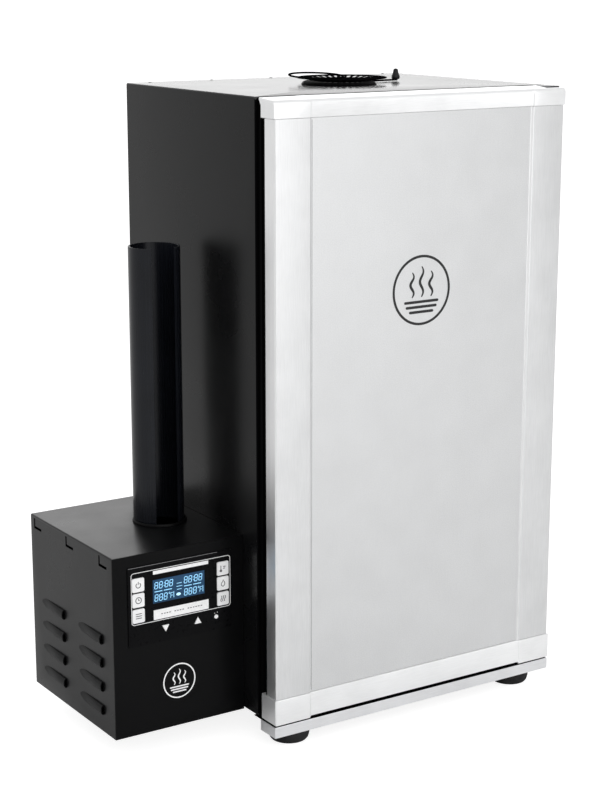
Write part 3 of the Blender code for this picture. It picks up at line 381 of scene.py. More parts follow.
def powder_coat(name="powder_coat", colour=(0.004, 0.0041, 0.0044), roughness=0.29, level=0.29, grain=0.00003,
                patchy=0.05):
    """Black powder paint with a fine orange-peel surface and faint scuffs."""
    s = Surface(name, colour, roughness, Specular_IOR_Level=level)
    peel = s.noise(620, detail=2.0)
    cloud = s.noise(9, detail=4.0)
    speck = s.cells(900)
    s.vary_colour(cloud, 0.85, 1.2)
    s.vary_roughness(cloud, patchy)
    s.relief(peel, grain, 0.8)
    s.relief(speck, grain * 0.5, 0.5)
    return s.material


def anodised():
    """The feeder tube: black anodised extrusion with fine lines along its length."""
    s = Surface("anodised", (0.006, 0.007, 0.010), 0.26, 0.20, Specular_IOR_Level=0.32)
    lines = s.noise(900, stretch=(1.0, 1.0, 0.01), detail=2.0)
    cloud = s.noise(16, detail=3.0)
    s.vary_colour(cloud, 0.8, 1.25)
    s.vary_roughness(lines, 0.06)
    s.relief(lines, 0.00002, 0.6)
    return s.material


def rubber():
    s = Surface("foot_rubber", (0.012, 0.012, 0.013), 0.72, Specular_IOR_Level=0.3)
    s.vary_colour(s.noise(60, detail=4.0), 0.8, 1.6)
    s.vary_roughness(s.noise(140), 0.08)
    s.relief(s.noise(1500, detail=2.0), 0.00008, 0.7)
    return s.material


def liner_steel():
    s = Surface("liner_steel", (0.60, 0.60, 0.61), 0.32, 1.0)
    streak = s.noise(380, stretch=(4.0, 0.15, 4.0), detail=4.0)
    stain = s.noise(7, detail=5.0)
    s.vary_colour(s.blend(streak, 0.4, stain, 0.6), 0.86, 1.06, 0.36, 0.64)
    s.vary_roughness(stain, 0.08)
    s.relief(streak, 0.00002, 0.5)
    return s.material


def chrome_wire():
    s = Surface("chrome_wire", (0.72, 0.72, 0.73), 0.16, 1.0)
    s.vary_colour(s.noise(40, detail=4.0), 0.88, 1.05)
    s.vary_roughness(s.noise(90), 0.05)
    s.relief(s.noise(700, detail=1.0), 0.00002, 0.4)
    return s.material


def dark_metal():
    s = Surface("dark_metal", (0.045, 0.045, 0.050), 0.34, 0.7)
    s.vary_colour(s.noise(60, detail=4.0), 0.7, 1.4)
    s.vary_roughness(s.noise(160), 0.08)
    s.relief(s.noise(800), 0.00003, 0.6)
    return s.material


def zinc():
    s = Surface("zinc_plate", (0.52, 0.53, 0.54), 0.34, 1.0)
    s.vary_colour(s.cells(180), 0.85, 1.08, 0.1, 0.7)
    s.vary_roughness(s.noise(90), 0.07)
    s.relief(s.noise(600), 0.00003, 0.5)
    return s.material


def wool():
    s = Surface("insulation_wool", (0.035, 0.034, 0.033), 0.95, Specular_IOR_Level=0.1)
    fibre = s.noise(420, stretch=(0.3, 3.0, 1.0), detail=5.0)
    s.vary_colour(fibre, 0.6, 1.7)
    s.relief(fibre, 0.0006, 1.0)
    return s.material


def moulded(name, colour, roughness, level=0.45):
    """Moulded plastic with a fine spark-eroded grain."""
    s = Surface(name, colour, roughness, Specular_IOR_Level=level)
    s.vary_colour(s.noise(50, detail=3.0), 0.9, 1.1)
    s.vary_roughness(s.noise(200), 0.05)
    s.relief(s.cells(1600), 0.00003, 0.5)
    return s.material


def ink(name, colour, roughness=0.45):
    """Printed or painted marks: a thin film with slight unevenness."""
    s = Surface(name, colour, roughness)
    s.vary_colour(s.noise(300, detail=3.0), 0.93, 1.04)
    s.vary_roughness(s.noise(500), 0.05)
    return s.material


def lcd_glass():
    s = Surface("lcd_glass", (0.014, 0.045, 0.095), 0.16, Emission_Color=(0.02, 0.08, 0.18, 1.0),
                Emission_Strength=0.22, Specular_IOR_Level=0.2)
    s.vary_colour(s.noise(35, detail=2.0), 0.8, 1.25)
    s.vary_roughness(s.noise(120), 0.03)
    return s.material


def lcd_glow(bright=False):
    glow = (0.55, 0.85, 1.0, 1.0) if bright else (0.26, 0.60, 0.90, 1.0)
    s = Surface("lcd_lamp" if bright else "lcd_glow", (0.30, 0.62, 0.85), 0.35, Emission_Color=glow,
                Emission_Strength=0.75)
    s.vary_colour(s.noise(900, detail=2.0), 0.85, 1.1)
    return s.material


def circuit():
    s = Surface("circuit_board", (0.03, 0.17, 0.07), 0.45)
    s.vary_colour(s.cells(260), 0.6, 1.4, 0.1, 0.6)
    s.relief(s.cells(260), 0.0001, 0.5)
    return s.material


MATERIALS = {
    "door": pebbled_steel(), "strip": strip_steel(),
    # The strips' sideways faces take a much lighter copy of the strip steel: a painted highlight.
    "highlight_strip_side": strip_steel("highlight_side_steel", (0.97, 0.975, 0.985)), "cap": cap_metal(),
    "base_strip": cap_metal("base_strip_metal", (0.88, 0.885, 0.90), 1.0), "paint": powder_coat(),
    # The roof takes a lighter, glossier copy of the black paint: a painted sheen.
    "roof": powder_coat("roof_sheen_paint", (0.008, 0.0081, 0.0088), 0.26, 0.58, 0.000002, 0.015),
    "gen_paint": powder_coat("generator_paint", (0.004, 0.0041, 0.0045), 0.30, 0.24, 0.00005),
    "collar": powder_coat("collar_black", (0.003, 0.003, 0.0035), 0.40, 0.03, 0.00003),
    "knob": powder_coat("knob_black", (0.010, 0.010, 0.011), 0.38, 0.25, 0.00003),
    # The louvre hoods take a duller copy of the generator's paint, so they read darker: painted shade.
    "hood_shade_paint": powder_coat("hood_shade_paint", (0.005, 0.0051, 0.0054), 0.45, 0.14, 0.00008),
    "face_paint": powder_coat("face_paint", (0.0025, 0.0026, 0.0029), 0.36, 0.09, 0.00003),
    # A dark strip laid on the door's panel beside the side strips: painted shade of the gap at the step.
    "gap_shade_strip": moulded("gap_shade_strip", (0.06, 0.06, 0.064), 0.6, 0.1),
    # Flat black with almost no sheen: the front frame and door core, and painted shade along the cabinet's front edge
    # and in the gap under the door.
    "frame_black_and_edge_shade": powder_coat("frame_black_and_edge_shade", (0.0015, 0.0015, 0.0018), 0.50, 0.03, 0.00003),
    "tube": anodised(), "rubber": rubber(), "liner": liner_steel(), "wire": chrome_wire(),
    "dark": dark_metal(), "zinc": zinc(), "wool": wool(),
    "plastic": moulded("black_plastic", (0.012, 0.012, 0.014), 0.42),
    "panel": moulded("panel_film", (0.0025, 0.0025, 0.003), 0.30, 0.07),
    "key": moulded("key_film", (0.94, 0.94, 0.95), 0.40),
    "seal": moulded("silicone_seal", (0.030, 0.030, 0.033), 0.60, 0.3),
    "white": ink("white_ink", (0.96, 0.96, 0.97)), "black_ink": ink("black_ink", (0.006, 0.006, 0.007), 0.40),
    # Grey ink: a painted highlight along the control panel's top edge.
    "rim_highlight_grey": ink("rim_highlight_grey", (0.30, 0.30, 0.31)), "dark_ink": ink("dark_ink", (0.05, 0.05, 0.055)),
    "vent": powder_coat("vent_black", (0.004, 0.004, 0.0045), 0.50, 0.0, 0.00003), "glow_bright": lcd_glow(True),
    "lcd": lcd_glass(), "glow": lcd_glow(), "board": circuit(),
}

NODE_MATERIALS = {
    "door": ["door_skin"],
    "paint": ["back_panel", "base_pan"],
    "gen_paint": ["generator_chassis"],
    "face_paint": ["generator_front"],
    "liner": ["inner_liner", "rack_rail_left", "rack_rail_right", "drip_tray", "burner_arm", "temperature_probe"],
    "dark": ["hinge_bracket_top", "hinge_bracket_bottom", "smoke_burner", "puck_pusher", "motor_crank"],
    "zinc": ["feed_motor"],
    "wool": ["cabinet_insulation"],
    "frame_black_and_edge_shade": ["front_frame", "door_core"],
    "plastic": ["cabinet_power_inlet", "generator_power_inlet"],
    "panel": ["control_panel"],
    "lcd": ["display"],
    "board": ["circuit_board"],
    "key": ["status_led", "down_button", "up_button"]
           + [f"button_{side}_{row}" for side in ("left", "right") for row in ("upper", "middle", "lower")],
}


def dress_nodes():
    """Gives each CAD node that stays visible its material and softly rounded edges."""
    for key, names in NODE_MATERIALS.items():
        for name in names:
            node = NODES[name]
            node.data.materials.clear()
            node.data.materials.append(MATERIALS[key])
            low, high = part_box(name)
            soften(node, min(0.0008, min(high - low) * 0.25))


# ---- Small shared pieces ---------------------------------------------------------------------------------
def ribbon(points, width, front, back, closed=False):
    """A thin flat band of a print along a path in X and Z, between two Y levels. width may be a list."""
    points = [Vector(p) for p in points]
    count = len(points)
    widths = width if isinstance(width, (list, tuple)) else [width] * count
    sections = []
    for i, point in enumerate(points):
        before = points[i - 1] if i or closed else point
        after = points[(i + 1) % count] if i < count - 1 or closed else point
        ahead = (after - before).normalized()
        side = Vector((-ahead.y, ahead.x)) * widths[i] / 2
        first, second = point + side, point - side
        sections.append([(first.x, front, first.y), (second.x, front, second.y), (second.x, back, second.y),
                         (first.x, back, first.y)])
    return loft(sections, closed=closed)


def plate(low, high, front, back, radius=0.0):
    """A thin upright plate in X and Z between two Y levels."""
    outline = round_rect(low, high, radius, 4) if radius else [low, (high[0], low[1]), high, (low[0], high[1])]
    return prism(outline, "Y", front, back)


def screw_head(radius, height):
    """A pan head with a cross recess, standing on Z = 0."""
    profile = [(0, height), (radius * 0.55, height * 0.97), (radius * 0.85, height * 0.7), (radius, height * 0.3),
               (radius, 0), (0, 0)]
    arm = radius * 0.62
    slot = radius * 0.13
    low, high = height * 0.45, height * 1.5
    return carved(turned(profile, (0, 0, 0), 20), [block((-arm, -slot, low), (arm, slot, high)),
                                                  block((-slot, -arm, low), (slot, arm, high))])


def screws(places, facing, radius=0.0036, height=0.0020):
    """Screw heads at the given places, all facing one way."""
    turn = Vector((0, 0, 1)).rotation_difference(Vector(facing)).to_matrix().to_4x4()
    head = screw_head(radius, height)
    heads = []
    for index, place in enumerate(places):
        copy = head.copy()
        spin = Matrix.Rotation(index * 0.7, 4, "Z")
        bmesh.ops.transform(copy, matrix=Matrix.Translation(place) @ turn @ spin, verts=copy.verts)
        heads.append(copy)
    head.free()
    return merged(*heads)


# ---- Door ------------------------------------------------------------------------------------------------

def door_strip(name, left_side):
    """A folded side strip: rounded outer corner, flat face and a joggled inner edge that meets the panel."""
    low, high = local(name)
    wide = high.x - low.x
    fold = 0.0022
    soft = 0.0022
    lean = 58
    rear = high.y - 0.0038
    outline = [(0.0, rear)]
    outline += arc((fold, fold), fold, 180, 270, 8)
    flat_end = wide - 0.0024
    outline += arc((flat_end, soft), soft, -90, -90 + lean, 7)
    last = outline[-1]
    drop = STEP - 0.00012 - last[1] - soft * (1 - math.cos(math.radians(lean)))
    foot = (last[0] + drop / math.tan(math.radians(lean)), last[1] + drop)
    centre = (foot[0] + soft * math.sin(math.radians(lean)), foot[1] - soft * math.cos(math.radians(lean)))
    outline += arc(centre, soft, 90 + lean, 90, 7)
    lip = outline[-1]
    outline += [(lip[0] + 0.0004, lip[1]), (lip[0] + 0.0004, lip[1] + 0.0001), (wide, STEP - 0.00012 + 0.0001),
                (wide, STEP + 0.0010), (wide - SHEET, STEP + 0.0010), (wide - SHEET - 0.0006, soft + SHEET * 0.6),
                (flat_end - 0.0006, SHEET), (fold + 0.0008, SHEET), (SHEET + 0.0003, SHEET + 0.0003),
                (SHEET, fold + 0.0008), (SHEET, rear)]
    if left_side:
        outline = [(low.x + u, low.y + v) for u, v in outline]
    else:
        outline = [(high.x - u, low.y + v) for u, v in outline]
    strip = piece(name + "_formed", prism(outline, "Z", low.z, high.z), "strip", "door", (name,), sharp=50)
    # Faces that look to either side take a much lighter copy of the steel: a painted highlight.
    strip.data.materials.append(MATERIALS["highlight_strip_side"])
    for face in strip.data.polygons:
        if abs(face.normal.x) > 0.7:
            face.material_index = 1


def cap_section(bottom, top, face_bottom, face_top, back, round_top, lip, rise, inset):
    """One Y, Z section of an end cap: rounded front corners, and a top that rises to a lip at its rear."""
    small = 0.0009
    face_bottom += inset
    face_top += inset
    back -= inset
    section = [(back, bottom + inset)]
    section += arc((face_bottom + small, bottom + inset + small), small, 270, 180, 4)
    section += arc((face_top + round_top, top - inset - round_top), round_top, 180, 90, 8)
    edge = top + rise - inset
    section += [(back + lip, edge), (back + lip, edge - 0.0011), (back, top - inset - 0.0055)]
    return section


def door_cap(name, set_back_bottom, set_back_top, round_top, lip, rise, lift, pocket):
    """An end cap lofted from end to end; between the side strips it is set back and its foot is lifted."""
    low, high = local(name)
    ease = 0.0026
    strip = SIDE_STRIP - 0.0025
    stations = [(low.x, 0.0, 0.0013), (low.x + 0.0002, 0.0, 0.00065), (low.x + 0.0007, 0.0, 0.00018),
                (low.x + 0.0014, 0.0, 0.0)]
    for i in range(9):
        share = i / 8
        stations.append((strip + ease * share, 0.5 - 0.5 * math.cos(math.pi * share), 0.0))
    middle = (low.x + high.x) / 2
    stations += [(2 * middle - x, depth, inset) for x, depth, inset in reversed(stations)]
    sections = []
    for x, depth, inset in stations:
        outline = cap_section(low.z + depth * lift, high.z, low.y + depth * set_back_bottom,
                              low.y + depth * set_back_top, high.y, round_top,
                              lip * (0.6 + 0.4 * depth), rise, inset)
        sections.append([(x, y, z) for y, z in outline])
    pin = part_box("hinge_bracket_top")
    pin_x = pin[0].x - HOME.x + 0.0130
    cutters = [block(*pocket), prism(circle((pin_x, 0.0180), 0.0036, 20), "Z", low.z - 0.01, high.z + 0.01)]
    piece(name + "_formed", carved(loft(sections), cutters), "cap", "door", (name,), sharp=40)


def door_seal():
    """The hollow bulb seal round the door's liner, drawn as a rounded bead on a flat foot."""
    low, high = local("door_gasket")
    inner = Vector((low.x + 0.0055, low.z + 0.0050))
    outer = Vector((high.x - 0.0055, high.z - 0.0050))
    path = round_rect(tuple(inner), tuple(outer), 0.010, 10)
    count = len(path)
    profile = [(-0.0050, 0.0), (-0.0050, 0.0014), (-0.0034, 0.0020), (-0.0036, 0.0042), (-0.0024, 0.0058),
               (0.0, 0.0064), (0.0024, 0.0058), (0.0036, 0.0042), (0.0034, 0.0020), (0.0050, 0.0014), (0.0050, 0.0)]
    sections = []
    for i, point in enumerate(path):
        before, after = Vector(path[i - 1]), Vector(path[(i + 1) % count])
        ahead = (after - before).normalized()
        across = Vector((ahead.y, -ahead.x))
        sections.append([(point[0] + across.x * a, low.y + rise, point[1] + across.y * a) for a, rise in profile])
    piece("door_gasket_bulb", loft(sections, closed=True), "seal", "door", ("door_gasket",), sharp=50)


def badge(name, centre, radius, front, material, body):
    """A generic round badge: one ring, a grate of three bars and three wisps of smoke over it."""
    back = front + 0.00030
    stroke = radius * 0.075
    parts = [ribbon(circle(centre, radius, 72), stroke, front, back, closed=True)]
    for row, half in enumerate((0.62, 0.56, 0.44)):
        z = centre[1] - radius * (0.34 + 0.15 * row)
        parts.append(plate((centre[0] - radius * half, z - radius * 0.040),
                           (centre[0] + radius * half, z + radius * 0.040), front, back, radius * 0.038))
    for shift, tall in ((-0.34, 0.74), (0.0, 0.90), (0.34, 0.74)):
        steps = 26
        points, widths = [], []
        for i in range(steps + 1):
            share = i / steps
            sway = math.sin(share * 3 * math.pi) * radius * 0.060
            points.append((centre[0] + shift * radius + sway, centre[1] - radius * 0.20 + share * radius * tall))
            widths.append(radius * (0.026 + 0.060 * math.sin(math.pi * min(1.0, share * 0.92 + 0.06))))
        parts.append(ribbon(points, widths, front, back))
    piece(name, merged(*parts), material, body, sharp=60)


def make_door():
    door_strip("door_trim_left", True)
    door_strip("door_trim_right", False)
    door_cap("door_top_cap", 0.0021, 0.0013, 0.0048, 0.0066, 0.0018, 0.0,
             ((0.0011, 0.0032, 0.70), (DOOR_WIDTH - 0.0011, 0.0267, 0.7828)))
    door_cap("door_bottom_cap", 0.0002, 0.0015, 0.0010, 0.0, 0.0, 0.0026,
             ((0.0011, 0.0032, 0.0367), (DOOR_WIDTH - 0.0011, 0.0267, 0.10)))
    door_seal()
    skin_low, skin_high = local("door_skin")
    # Dark strips on the panel beside the side strips' inner edges: painted shade of the gap at the step. The left one
    # reaches further onto the panel, past what the strip's edge hides.
    gap_shade_strips = []
    left_end, right_end = local("door_trim_left")[1].x, local("door_trim_right")[0].x
    for start, end in ((left_end - 0.0004, left_end + 0.0024), (right_end - 0.0008, right_end + 0.0004)):
        gap_shade_strips.append(block((start, skin_low.y - 0.0001, skin_low.z + 0.002), (end, skin_low.y + 0.0006,
                                                                              skin_high.z - 0.002), 0.00005, 1))
    piece("door_gap_shade", merged(*gap_shade_strips), "gap_shade_strip", "door")
    badge("door_badge", (0.2110, 0.5500), 0.0415, skin_low.y - 0.00022, "black_ink", "door")
    liner_low, liner_high = local("door_liner")
    sheet = 0.0279
    rows = [liner_low.z + 0.012 + (liner_high.z - liner_low.z - 0.024) * i / 6 for i in range(7)]
    places = [(x, sheet, z) for x in (liner_low.x + 0.012, 0.4060) for z in rows]
    piece("door_liner_screws", screws(places, (0, 1, 0), 0.0030, 0.0014), "zinc", "door")


# ---- Cabinet ---------------------------------------------------------------------------------------------
def wire_rack(name):
    """Welded round wires: a rim, wires from front to back, and two cross wires under them."""
    low, high = local(name)
    rim = 0.0020
    wire = 0.0012
    top = high.z - wire
    rim_low = (low.x + rim, low.y + rim)
    rim_high = (high.x - rim, high.y - rim)
    level = low.z + rim
    parts = [rod([(x, y, level) for x, y in round_rect(rim_low, rim_high, 0.012, 6)], rim, 12, closed=True)]
    count = 22
    for i in range(1, count):
        x = rim_low[0] + (rim_high[0] - rim_low[0]) * i / count
        parts.append(rod([(x, rim_low[1], level), (x, rim_low[1] + 0.0030, top), (x, rim_high[1] - 0.0030, top),
                          (x, rim_high[1], level)], wire, 8))
    for share in (0.33, 0.67):
        y = low.y + (high.y - low.y) * share
        parts.append(rod([(rim_low[0], y, low.z + 0.0013), (rim_high[0], y, low.z + 0.0013)], 0.0013, 8))
    piece(name + "_wires", merged(*parts), "wire", "cabinet", (name,), sharp=60)


def drawn_bowl():
    """A pressed water bowl with soft corners and a rolled rim."""
    low, high = local("water_bowl")
    thick = 0.0012
    sections = []
    outside = [(0.0120, 0.0), (0.0065, 0.0006), (0.0045, 0.0030), (0.0030, 0.0200), (0.0018, 0.0430), (0.0008, 0.0452),
               (0.0, 0.0462), (0.0, 0.0470), (0.0008, 0.0478), (0.0018, 0.0474)]
    inside = [(0.0018 + thick, 0.0440), (0.0030 + thick, 0.0200), (0.0045 + thick, 0.0040), (0.0070 + thick, 0.0018),
              (0.0130, 0.0012)]
    for inset, rise in outside + inside:
        radius = max(0.004, 0.020 - inset)
        outline = round_rect((low.x + inset, low.y + inset), (high.x - inset, high.y - inset), radius, 7)
        sections.append([(x, y, low.z + rise) for x, y in outline])
    piece("water_bowl_drawn", loft(sections), "liner", "cabinet", ("water_bowl",), sharp=50)


def tube_heater():
    """A tubular heater bent into a loop, with a flange nut at each end."""
    low, high = local("heating_element")
    r = 0.0033
    front = low.y + r
    left, right = low.x + r, high.x - r
    bottom, top = low.z + r, high.z - r
    middle = (left + right) / 2
    gap = 0.015
    wall = high.y
    corners = [(middle - gap, wall, bottom), (middle - gap, wall - 0.012, bottom),
               (middle - gap, front + 0.004, bottom), (middle - gap - 0.004, front, bottom),
               (left + 0.012, front, bottom), (left, front, bottom + 0.012),
               (left, front, top - 0.012), (left + 0.012, front, top), (right - 0.012, front, top),
               (right, front, top - 0.012), (right, front, bottom + 0.012), (right - 0.012, front, bottom),
               (middle + gap + 0.004, front, bottom), (middle + gap, front + 0.004, bottom),
               (middle + gap, wall - 0.012, bottom), (middle + gap, wall, bottom)]
    parts = [rod(smooth_path(corners, 3), r, 14)]
    for x in (middle - gap, middle + gap):
        parts.append(turned([(0.0036, wall - 0.0090), (0.0068, wall - 0.0090), (0.0074, wall - 0.0084),
                             (0.0074, wall - 0.0032), (0.0095, wall - 0.0030), (0.0095, wall), (0.0036, wall)],
                            (x, 0, bottom), NUT_SIDES, "Y"))
    piece("heating_element_tube", merged(*parts), "dark", "cabinet", ("heating_element",), sharp=40)


def rubber_foot(name):
    low, high = local(name)
    x, y = plan_centre(low, high)
    radius = (high.x - low.x) / 2 * 1.08
    top = high.z
    profile = [(0, 0.0022), (0.0050, 0.0022), (0.0056, 0.0004), (0.0062, 0.0), (0.0125, 0.0), (0.0130, 0.0012),
               (0.0142, 0.0012), (0.0147, 0.0), (radius - 0.0058, 0.0), (radius - 0.0036, 0.0008),
               (radius - 0.0016, 0.0034), (radius - 0.0005, 0.0075), (radius, 0.0125), (radius, top - 0.0040),
               (radius - 0.0006, top - 0.0034), (radius - 0.0006, top - 0.0024), (radius, top - 0.0018),
               (radius - 0.0010, top), (0, top)]
    piece(name + "_moulded", turned(profile, (x, y, 0), 56), "rubber", "cabinet", (name,), sharp=40)


def inlet_pins(name, body):
    """Three flat pins in the socket and a screw head on each side of it."""
    low, high = local(name)
    x, z = front_centre(low, high)
    back = high.y
    parts = []
    for dx, dz in ((-0.0070, 0.0026), (0.0070, 0.0026), (0.0, -0.0026)):
        parts.append(block((x + dx - 0.0010, back - 0.0162, z + dz - 0.0020), (x + dx + 0.0010, back - 0.0050,
                                                                               z + dz + 0.0020), 0.0004))
    piece(name + "_pins", merged(*parts), "zinc", body)
    heads = [(x - 0.0205, back, z), (x + 0.0205, back, z)]
    piece(name + "_screws", screws(heads, (0, 1, 0), 0.0026, 0.0012), "zinc", body)


def hub_ports(x, y, bottom, top):
    """Cutters for the three round ports about the vent's hub."""
    return [prism(circle((x + PORT_CIRCLE * math.cos(t), y + PORT_CIRCLE * math.sin(t)), PORT_RADIUS, 24), "Z",
                  bottom, top) for t in (0, 2 * math.pi / 3, 4 * math.pi / 3)]


def vent_flange():
    """The flanged sleeve in the roof, with three ports through the web over its bore."""
    low, high = local("vent_collar")
    x, y = plan_centre(low, high)
    flange = (high.x - low.x) / 2
    foot, lip = high.z - 0.0042, high.z
    bore = 0.0265
    sleeve = 0.0285
    profile = [(0, lip), (flange - 0.0046, lip), (flange - 0.0030, lip - 0.0006), (flange - 0.0006, lip - 0.0026),
               (flange, lip - 0.0034), (flange, foot + 0.0003), (flange - 0.0003, foot), (sleeve, foot),
               (sleeve, low.z), (bore, low.z), (bore, lip - 0.0020), (0, lip - 0.0020)]
    ports = hub_ports(x, y, lip - 0.01, lip + 0.01)
    piece("vent_collar_spun", carved(turned(profile, (x, y, 0), 72), [merged(*ports)]), "collar", "cabinet",
          ("vent_collar",))


def wrapped_shell():
    """One sheet folded over the cabinet, with soft corners and a narrow flange folded in at its front edge."""
    low, high = local("cabinet_shell")
    fold = 0.0024
    flange = 0.0036
    outer = [(low.x, low.z)] + arc((low.x + fold, high.z - fold), fold, 180, 90, 6)
    outer += arc((high.x - fold, high.z - fold), fold, 90, 0, 6) + [(high.x, low.z)]
    sections = []

    def section(inset, y, thick):
        rim = [(x + (inset if x < DOOR_WIDTH / 2 else -inset), z - (inset if z > 0.1 else 0.0)) for x, z in outer]
        lining = [(x + (thick if x < DOOR_WIDTH / 2 else -thick), z - (thick if z > 0.1 else 0.0))
                  for x, z in reversed(rim)]
        return [(x, y, z) for x, z in rim + lining]

    soft = 0.0012
    for turn in (90, 60, 30, 0):
        t = math.radians(turn)
        sections.append(section(soft * (1 - math.cos(t)), low.y + soft - soft * math.sin(t), flange))
    sections.append(section(0.0, low.y + 0.0018, flange))
    sections.append(section(0.0, low.y + 0.0019, SHEET))
    sections.append(section(0.0, low.y + FRONT_SHADE_BAND, SHEET))
    sections.append(section(0.0, high.y - 0.0004, SHEET))
    sections.append(section(0.0003, high.y, SHEET * 0.6))
    arm_low, arm_high = local("burner_arm")
    arm = block((-0.01, arm_low.y - 0.006, arm_low.z - 0.006), (0.01, arm_high.y + 0.006, arm_high.z + 0.024))
    vent = prism(circle(plan_centre(*local("vent_collar")), 0.030, 48), "Z", high.z - 0.02, high.z + 0.02)
    shell = piece("cabinet_shell_folded", carved(loft(sections), [arm, vent]), "paint", "cabinet",
                  ("cabinet_shell",))
    # The roof's faces take a lighter, glossier copy of the paint: a painted sheen.
    shell.data.materials.append(MATERIALS["roof"])
    shell.data.materials.append(MATERIALS["frame_black_and_edge_shade"])
    for face in shell.data.polygons:
        below_roof = face.center.z < ROOF - ROOF_FOLD
        if face.normal.z > 0.5 and face.center.z > ROOF - ROOF_FOLD:
            face.material_index = 1
        # Faces along the front edge, below the roof, take a dull black: painted shade at the front edge.
        elif face.center.y < FRONT + low.y + FRONT_SHADE_BAND:
            face.material_index = 2 if below_roof else 1


def base_strip():
    """The folded strip under the door, bright outside; a dark shelf just below its top edge paints the gap's shade."""
    low, high = local("base_trim")
    soft = 0.0007
    rear = high.y - 0.0046
    outline = [(low.x, rear)] + arc((low.x + soft, low.y + soft), soft, 180, 270, 4)
    outline += arc((high.x - soft, low.y + soft), soft, 270, 360, 4)
    outline += [(high.x, rear), (high.x - SHEET, rear), (high.x - SHEET, low.y + SHEET),
                (low.x + SHEET, low.y + SHEET), (low.x + SHEET, rear)]
    wall = prism(outline, "Z", low.z, high.z)
    for height, offset in ((low.z, 0.0002), (high.z, 0.0005)):
        rims = [edge for edge in wall.edges if all(abs(vert.co.z - height) < SAME_LEVEL for vert in edge.verts)]
        bmesh.ops.bevel(wall, geom=rims, offset=offset, segments=2, affect="EDGES")
    piece("base_trim_folded", wall, "base_strip", "cabinet", ("base_trim",), sharp=40)
    # The shelf is black: painted shade in the gap under the door's bottom cap.
    shelf = block((low.x + SHEET + 0.0001, low.y + SHEET + 0.0001, high.z - 0.0012),
                  (high.x - SHEET - 0.0001, high.y + 0.0130, high.z - 0.0003), 0.0002, 1)
    piece("base_trim_gap_shade", shelf, "frame_black_and_edge_shade", "cabinet")


def make_cabinet():
    wrapped_shell()
    base_strip()
    for index in range(1, 5):
        wire_rack(f"smoking_rack_{index}")
    drawn_bowl()
    tube_heater()
    for name in ("foot_front_left", "foot_front_right", "foot_rear_left", "foot_rear_right"):
        rubber_foot(name)
    inlet_pins("cabinet_power_inlet", "cabinet")
    vent_flange()
    low, high = local("back_panel")
    rows = [low.z + 0.012 + (high.z - low.z - 0.024) * i / 5 for i in range(6)]
    places = [(x, high.y, z) for x in (low.x + 0.010, high.x - 0.010) for z in rows]
    places += [(low.x + (high.x - low.x) * share, high.y, z) for share in (0.25, 0.5, 0.75)
               for z in (low.z + 0.010, high.z - 0.010)]
    piece("back_panel_screws", screws(places, (0, 1, 0), 0.0036, 0.0013), "dark", "cabinet")
    shell_low, shell_high = local("cabinet_shell")
    roof = [(shell_low.x + 0.030 + (shell_high.x - shell_low.x - 0.060) * i / 4, shell_high.y - 0.008, shell_high.z)
            for i in range(5)]
    piece("roof_screws", screws(roof, (0, 0, 1), 0.0021, 0.0007), "dark", "cabinet")
    right = [(shell_high.x, shell_high.y - 0.008, shell_low.z + 0.030 + (shell_high.z - shell_low.z - 0.060) * i / 4)
             for i in range(5)]
    piece("shell_screws_right", screws(right, (1, 0, 0), 0.0032, 0.0012), "dark", "cabinet")


# ---- Roof vent -------------------------------------------------------------------------------------------

def slotted_disc():
    """The turning disc: a dished web with a ring of slots, a rolled rim, a flat hub with three ports and an eye."""
    low, high = local("vent_damper")
    x, y = plan_centre(low, high)
    radius = (high.x - low.x) / 2
    hub = 0.0340
    foot = local("vent_collar")[1].z + 0.0003
    rim = foot + 0.0037
    skin = 0.0009
    web = radius - 0.0020
    profile = [(0, foot), (hub, foot), (web, rim - skin), (radius - 0.0008, rim - skin), (radius, rim - 0.0002),
               (radius - 0.0002, rim + 0.0004), (radius - 0.0008, rim + 0.0006), (web, rim),
               (hub - 0.0004, foot + skin), (0, foot + skin)]
    slots = []
    for i in range(VENT_SLOTS):
        t = 2 * math.pi * (i + 0.5) / VENT_SLOTS
        out = Vector((math.cos(t), math.sin(t)))
        side = Vector((-out.y, out.x))
        ends = [(Vector((x, y)) + out * (hub + 0.0065), 90, 0.0022),
                (Vector((x, y)) + out * (web - 0.0034), -90, 0.0029)]
        outline = []
        for end, turn, half in ends:
            for k in range(5):
                a = math.radians(turn + 180 * k / 4)
                outline.append(tuple(end + out * math.cos(a) * half * 0.8 + side * math.sin(a) * half))
        slots.append(prism(outline, "Z", foot - 0.005, high.z))
    ports = hub_ports(x - 0.0045, y, foot - 0.005, high.z)
    disc = carved(turned(profile, (x, y, 0), 160), [merged(*slots, *ports)])
    ring = local("vent_ring")
    eye_x, level = ring[1].x - 0.0012, (ring[0].z + ring[1].z) / 2
    base = foot + skin * 0.5
    reach = level - base - 0.0028
    eye = rod([(eye_x, y - 0.0024, base), (eye_x, y - 0.0024, base + reach)]
              + [(eye_x, y + 0.0024 * math.cos(t), base + reach + 0.0030 * math.sin(t))
                 for t in [math.radians(a) for a in range(150, 29, -30)]]
              + [(eye_x, y + 0.0024, base + reach), (eye_x, y + 0.0024, base)], 0.0007, 10)
    piece("vent_damper_slotted", merged(disc, eye), "vent", "damper", ("vent_damper",))


